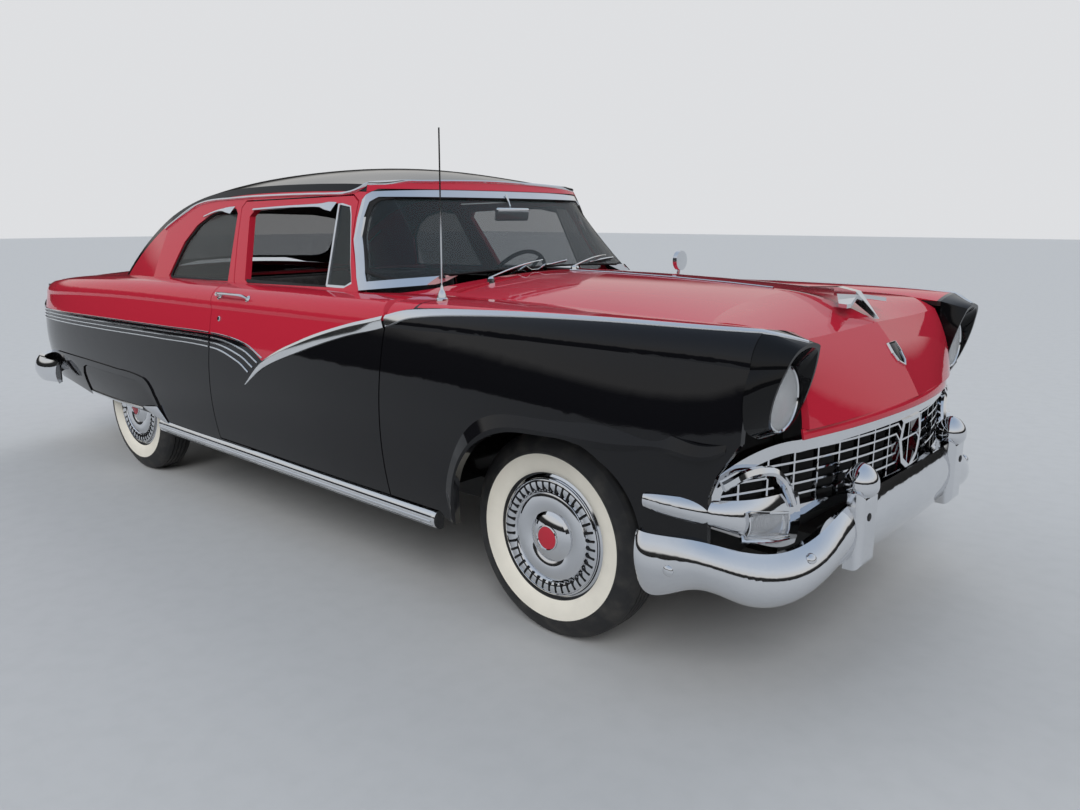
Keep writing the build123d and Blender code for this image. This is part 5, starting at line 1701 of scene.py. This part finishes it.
@dataclass
class Seats:
    """The two benches, upholstered.

    A row of the bases is the node that one replaces, its middle's x, its top, length and width.
    """

    palette: Palette
    pads: tuple[Cushion, ...] = (
        Cushion("front_cushion", (-0.100, 0.0, 0.605), (0.500, 1.340, 0.170), -4.0, 9),
        Cushion("front_back_left", (-0.345, 0.345, 0.850), (0.130, 0.655, 0.450), -14.0, 5),
        Cushion("front_back_right", (-0.345, -0.345, 0.850), (0.130, 0.655, 0.450), -14.0, 5),
        Cushion("rear_cushion", (-0.815, 0.0, 0.595), (0.400, 1.080, 0.170), -4.0, 7),
        Cushion("rear_back", (-1.045, 0.0, 0.835), (0.120, 1.080, 0.400), -12.0, 7),
    )
    bases: tuple[tuple[str, float, float, float, float], ...] = (
        ("front_seat", -0.12, 0.485, 0.52, 1.20), ("rear_seat", -0.83, 0.497, 0.36, 1.00),
    )
    base_overlap: float = 0.04
    cap: float = 0.018
    crown: float = 0.014
    shrink: Point = (0.96, 0.975, 0.96)
    voxel: float = 0.014
    pressure: float = 4
    cloth_frames: int = 20
    cord: float = 0.0045
    cord_bend: float = 0.05
    cord_inset: float = 0.006
    cord_sink: float = 0.022

    def build(self) -> None:
        """Make every cushion with its piping."""
        for pad in self.pads:
            obj = self.cushion(pad)
        for node, x, top, length, wide in self.bases:
            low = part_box(node)[0].z
            middle = (x, 0.0, (top + low) / 2 + self.base_overlap / 2)
            base = block(middle, (length, wide, top - low + self.base_overlap), 0.02)
            piece(f"{node}_base", base, self.palette.frame_black, "body", (node,))

    def cushion(self, pad: Cushion) -> bpy.types.Object:
        """One crowned cushion, puffed by a short cloth run, with sewn channels and red piping.

        Args:
            pad: what to make.

        Returns:
            The cushion, without its piping.
        """
        bm = bmesh.new()
        bmesh.ops.create_cube(bm, size=1)
        bmesh.ops.scale(bm, vec=pad.size, verts=bm.verts)
        rounded(bm, min(pad.size) * 0.30, 4)
        bmesh.ops.subdivide_edges(bm, edges=bm.edges[:], cuts=3, use_grid_fill=True)
        obj = piece(f"seat_{pad.name}", bm, self.palette.cloth, "body", (), 80)
        self.puff(obj)
        mesh, flat, other = obj.data, pad.flat, 2 - pad.flat
        bm = bmesh.new()
        bm.from_mesh(mesh)
        for v in bm.verts:
            a, b = v.co.y / pad.size[1], v.co[other] / pad.size[other]
            swell = max(0.0, 1 - (2 * a) ** 4) * max(0.0, 1 - (2 * b) ** 4)
            channel = abs(math.sin(math.pi * (a + 0.5) * pad.rolls)) ** 0.5
            if v.co[flat] > 0:
                v.co[flat] += swell * self.crown * (0.6 + 0.5 * channel)
        bmesh.ops.rotate(bm, verts=bm.verts, matrix=pad.turn)
        bmesh.ops.translate(bm, verts=bm.verts, vec=pad.centre)
        bm.to_mesh(mesh)
        bm.free()
        mesh.polygons.foreach_set("use_smooth", [True] * len(mesh.polygons))
        self.piping(pad)
        return obj

    def puff(self, obj: bpy.types.Object) -> None:
        """Blow a cushion up as cloth, hold the points within the cap and keep the result.

        Args:
            obj: the cushion, whose mesh is replaced.
        """
        mesh = obj.data
        bm = bmesh.new()
        bm.from_mesh(mesh)
        bmesh.ops.scale(bm, vec=self.shrink, verts=bm.verts)
        bm.to_mesh(mesh)
        bm.free()
        remesh = obj.modifiers.new("even", "REMESH")
        remesh.mode = "VOXEL"
        remesh.voxel_size = self.voxel
        self.settle(obj)
        before = [v.co.copy() for v in obj.data.vertices]
        cloth = obj.modifiers.new("cloth", "CLOTH").settings
        cloth.use_pressure = True
        cloth.uniform_pressure_force = self.pressure
        cloth.effector_weights.gravity = 0
        cloth.quality = 5
        scene = bpy.context.scene
        for number in range(self.cloth_frames):
            scene.frame_set(number + 1)
        self.settle(obj)
        scene.frame_set(1)
        for v, old in zip(obj.data.vertices, before):
            move = v.co - old
            if move.length > self.cap:
                v.co = old + move * (self.cap / move.length)
        smooth = obj.modifiers.new("smooth", "SUBSURF")
        smooth.levels = smooth.render_levels = 1
        self.settle(obj)

    def settle(self, obj: bpy.types.Object) -> None:
        """Apply a piece's modifiers to its mesh.

        Args:
            obj: the piece.
        """
        view = bpy.context.evaluated_depsgraph_get()
        made = bpy.data.meshes.new_from_object(obj.evaluated_get(view))
        obj.modifiers.clear()
        obj.data = made

    def piping(self, pad: Cushion) -> None:
        """Red cord round the cushion's face.

        Args:
            pad: the cushion.
        """
        flat, other, bend = pad.flat, 2 - pad.flat, self.cord_bend
        across, level = pad.size[1] / 2 - self.cord_inset, pad.size[other] / 2 - self.cord_inset
        corners = [
            (-across + bend, -level), (across - bend, -level), (across, -level + bend),
            (across, level - bend), (across - bend, level), (-across + bend, level),
            (-across, level - bend), (-across, -level + bend), (-across + bend, -level),
        ]
        centre, turn, points = Vector(pad.centre), pad.turn, []
        for y, rise in corners:
            local = Vector((0, y, 0))
            local[flat] = pad.size[flat] / 2 - self.cord_sink
            local[other] = rise
            points.append(turn @ local + centre)
        runs = []
        for a, b in zip(points, points[1:]):
            middle = (a + b) / 2
            up = (middle - centre).normalized()
            runs.append(ribbon([(p, up) for p in (a, middle, b)], self.cord, self.cord, ROUND))
        piece(f"piping_{pad.name}", gathered(runs), self.palette.piping)


@dataclass
class Studio:
    """The camera of the photograph, a pale floor and soft light.

    A lamp is its name, its place, the degrees that it spreads over and its strength.
    """

    eye: Point = (3.3787, -2.8155, 1.3325)
    azimuth: float = 41.426
    elevation: float = 12.031
    focal_px: float = 880.64
    width_px: int = 1080
    sensor: float = 36.0
    floor: Colour = (0.46, 0.46, 0.455)
    floor_half: float = 60
    floor_height: float = -0.001
    sky: tuple[tuple[float, Colour], ...] = (
        (0.0, (0.20, 0.19, 0.18)), (0.48, (0.22, 0.21, 0.20)), (0.50, (0.02, 0.02, 0.02)),
        (0.575, (0.035, 0.035, 0.035)), (0.600, (0.80, 0.79, 0.77)), (0.72, (0.74, 0.79, 0.86)),
        (1.0, (0.42, 0.53, 0.70)),
    )
    backdrop: Colour = (0.86, 0.87, 0.89)
    sky_strength: float = 0.85
    lamps: tuple[tuple[str, Point, float, float], ...] = (
        ("key_sun", (4.5, -5.5, 5.5), 32.0, 1.7), ("fill_sun", (-2.0, 5.5, 5.5), 45.0, 0.9),
        ("tail_sun", (-6.5, -2.5, 4.0), 45.0, 0.7),
    )
    aim: Point = (0.3, 0, 0.6)

    def build(self) -> None:
        """Set the scene."""
        self.camera()
        self.ground()
        self.world()
        self.hang_lamps()
        bpy.context.scene.view_settings.view_transform = "Standard"

    def camera(self) -> None:
        """Place the camera as it was fitted to the photograph."""
        data = bpy.data.cameras.new("photo_camera")
        data.sensor_fit = "HORIZONTAL"
        data.sensor_width = self.sensor
        data.lens = self.sensor * self.focal_px / self.width_px
        data.clip_start = 0.05
        camera = bpy.data.objects.new("photo_camera", data)
        camera.location = self.eye
        camera.rotation_euler = Euler((math.radians(90 - self.elevation), 0, math.radians(self.azimuth)))
        bpy.context.collection.objects.link(camera)
        bpy.context.scene.camera = camera

    def ground(self) -> None:
        """Lay the floor."""
        bm = bmesh.new()
        bmesh.ops.create_grid(bm, x_segments=1, y_segments=1, size=self.floor_half)
        mesh = bpy.data.meshes.new("studio_floor")
        bm.to_mesh(mesh)
        bm.free()
        floor = bpy.data.objects.new("studio_floor", mesh)
        floor.location.z = self.floor_height
        bpy.context.collection.objects.link(floor)
        mesh.materials.append(Rough("studio_floor", self.floor, tinted(self.floor, 0.97), 0.9).material())

    def world(self) -> None:
        """Surround the car with a sky that is bright overhead and has a dark band at the horizon."""
        world = bpy.data.worlds.new("studio_sky")
        world.use_nodes = True
        bpy.context.scene.world = world
        g = Graph(world.node_tree)
        height = g.parts(g.coordinates("Generated"))[2]
        sky = g.value("ShaderNodeValToRGB", {"stops": self.sky}, {0: height * 0.5 + 0.5})
        straight = g.value("ShaderNodeLightPath", output="Is Camera Ray")
        background = next(n for n in g.tree.nodes if n.type == "BACKGROUND")
        g.feed(background.inputs["Color"], g.mix(straight, sky, self.backdrop))
        background.inputs["Strength"].default_value = self.sky_strength

    def hang_lamps(self) -> None:
        """Hang wide soft suns, which light the paint but aren't mirrored in it."""
        for name, place, spread, strength in self.lamps:
            data = bpy.data.lights.new(name, "SUN")
            data.angle = math.radians(spread)
            data.energy = strength
            lamp = bpy.data.objects.new(name, data)
            lamp.visible_glossy = False
            lamp.location = place
            lamp.rotation_euler = (Vector(self.aim) - Vector(place)).to_track_quat("-Z", "Y").to_euler()
            bpy.context.collection.objects.link(lamp)


def main() -> None:
    """Build the scene part by part."""
    logging.basicConfig(level=logging.INFO, format="%(name)s: %(message)s")
    palette = Palette()
    parts: list = [Studio(), Shell(palette)]
    for side in Side:
        parts += [kind(palette, side) for kind in (SideTrim, SillTrim, WindowTrim, DoorHardware)]
    for corner in WHEEL_CENTRES:
        parts += [Tyre(palette, corner), WheelDress(palette, corner)]
    parts += [kind(palette) for kind in (Lamps, FrontTrim, RearTrim, Wipers, GlassRubber, Cabin, Seats)]
    for part in parts:
        part.build()
        log.info("built %s", type(part).__name__)


if __name__ == "__main__":
    main()
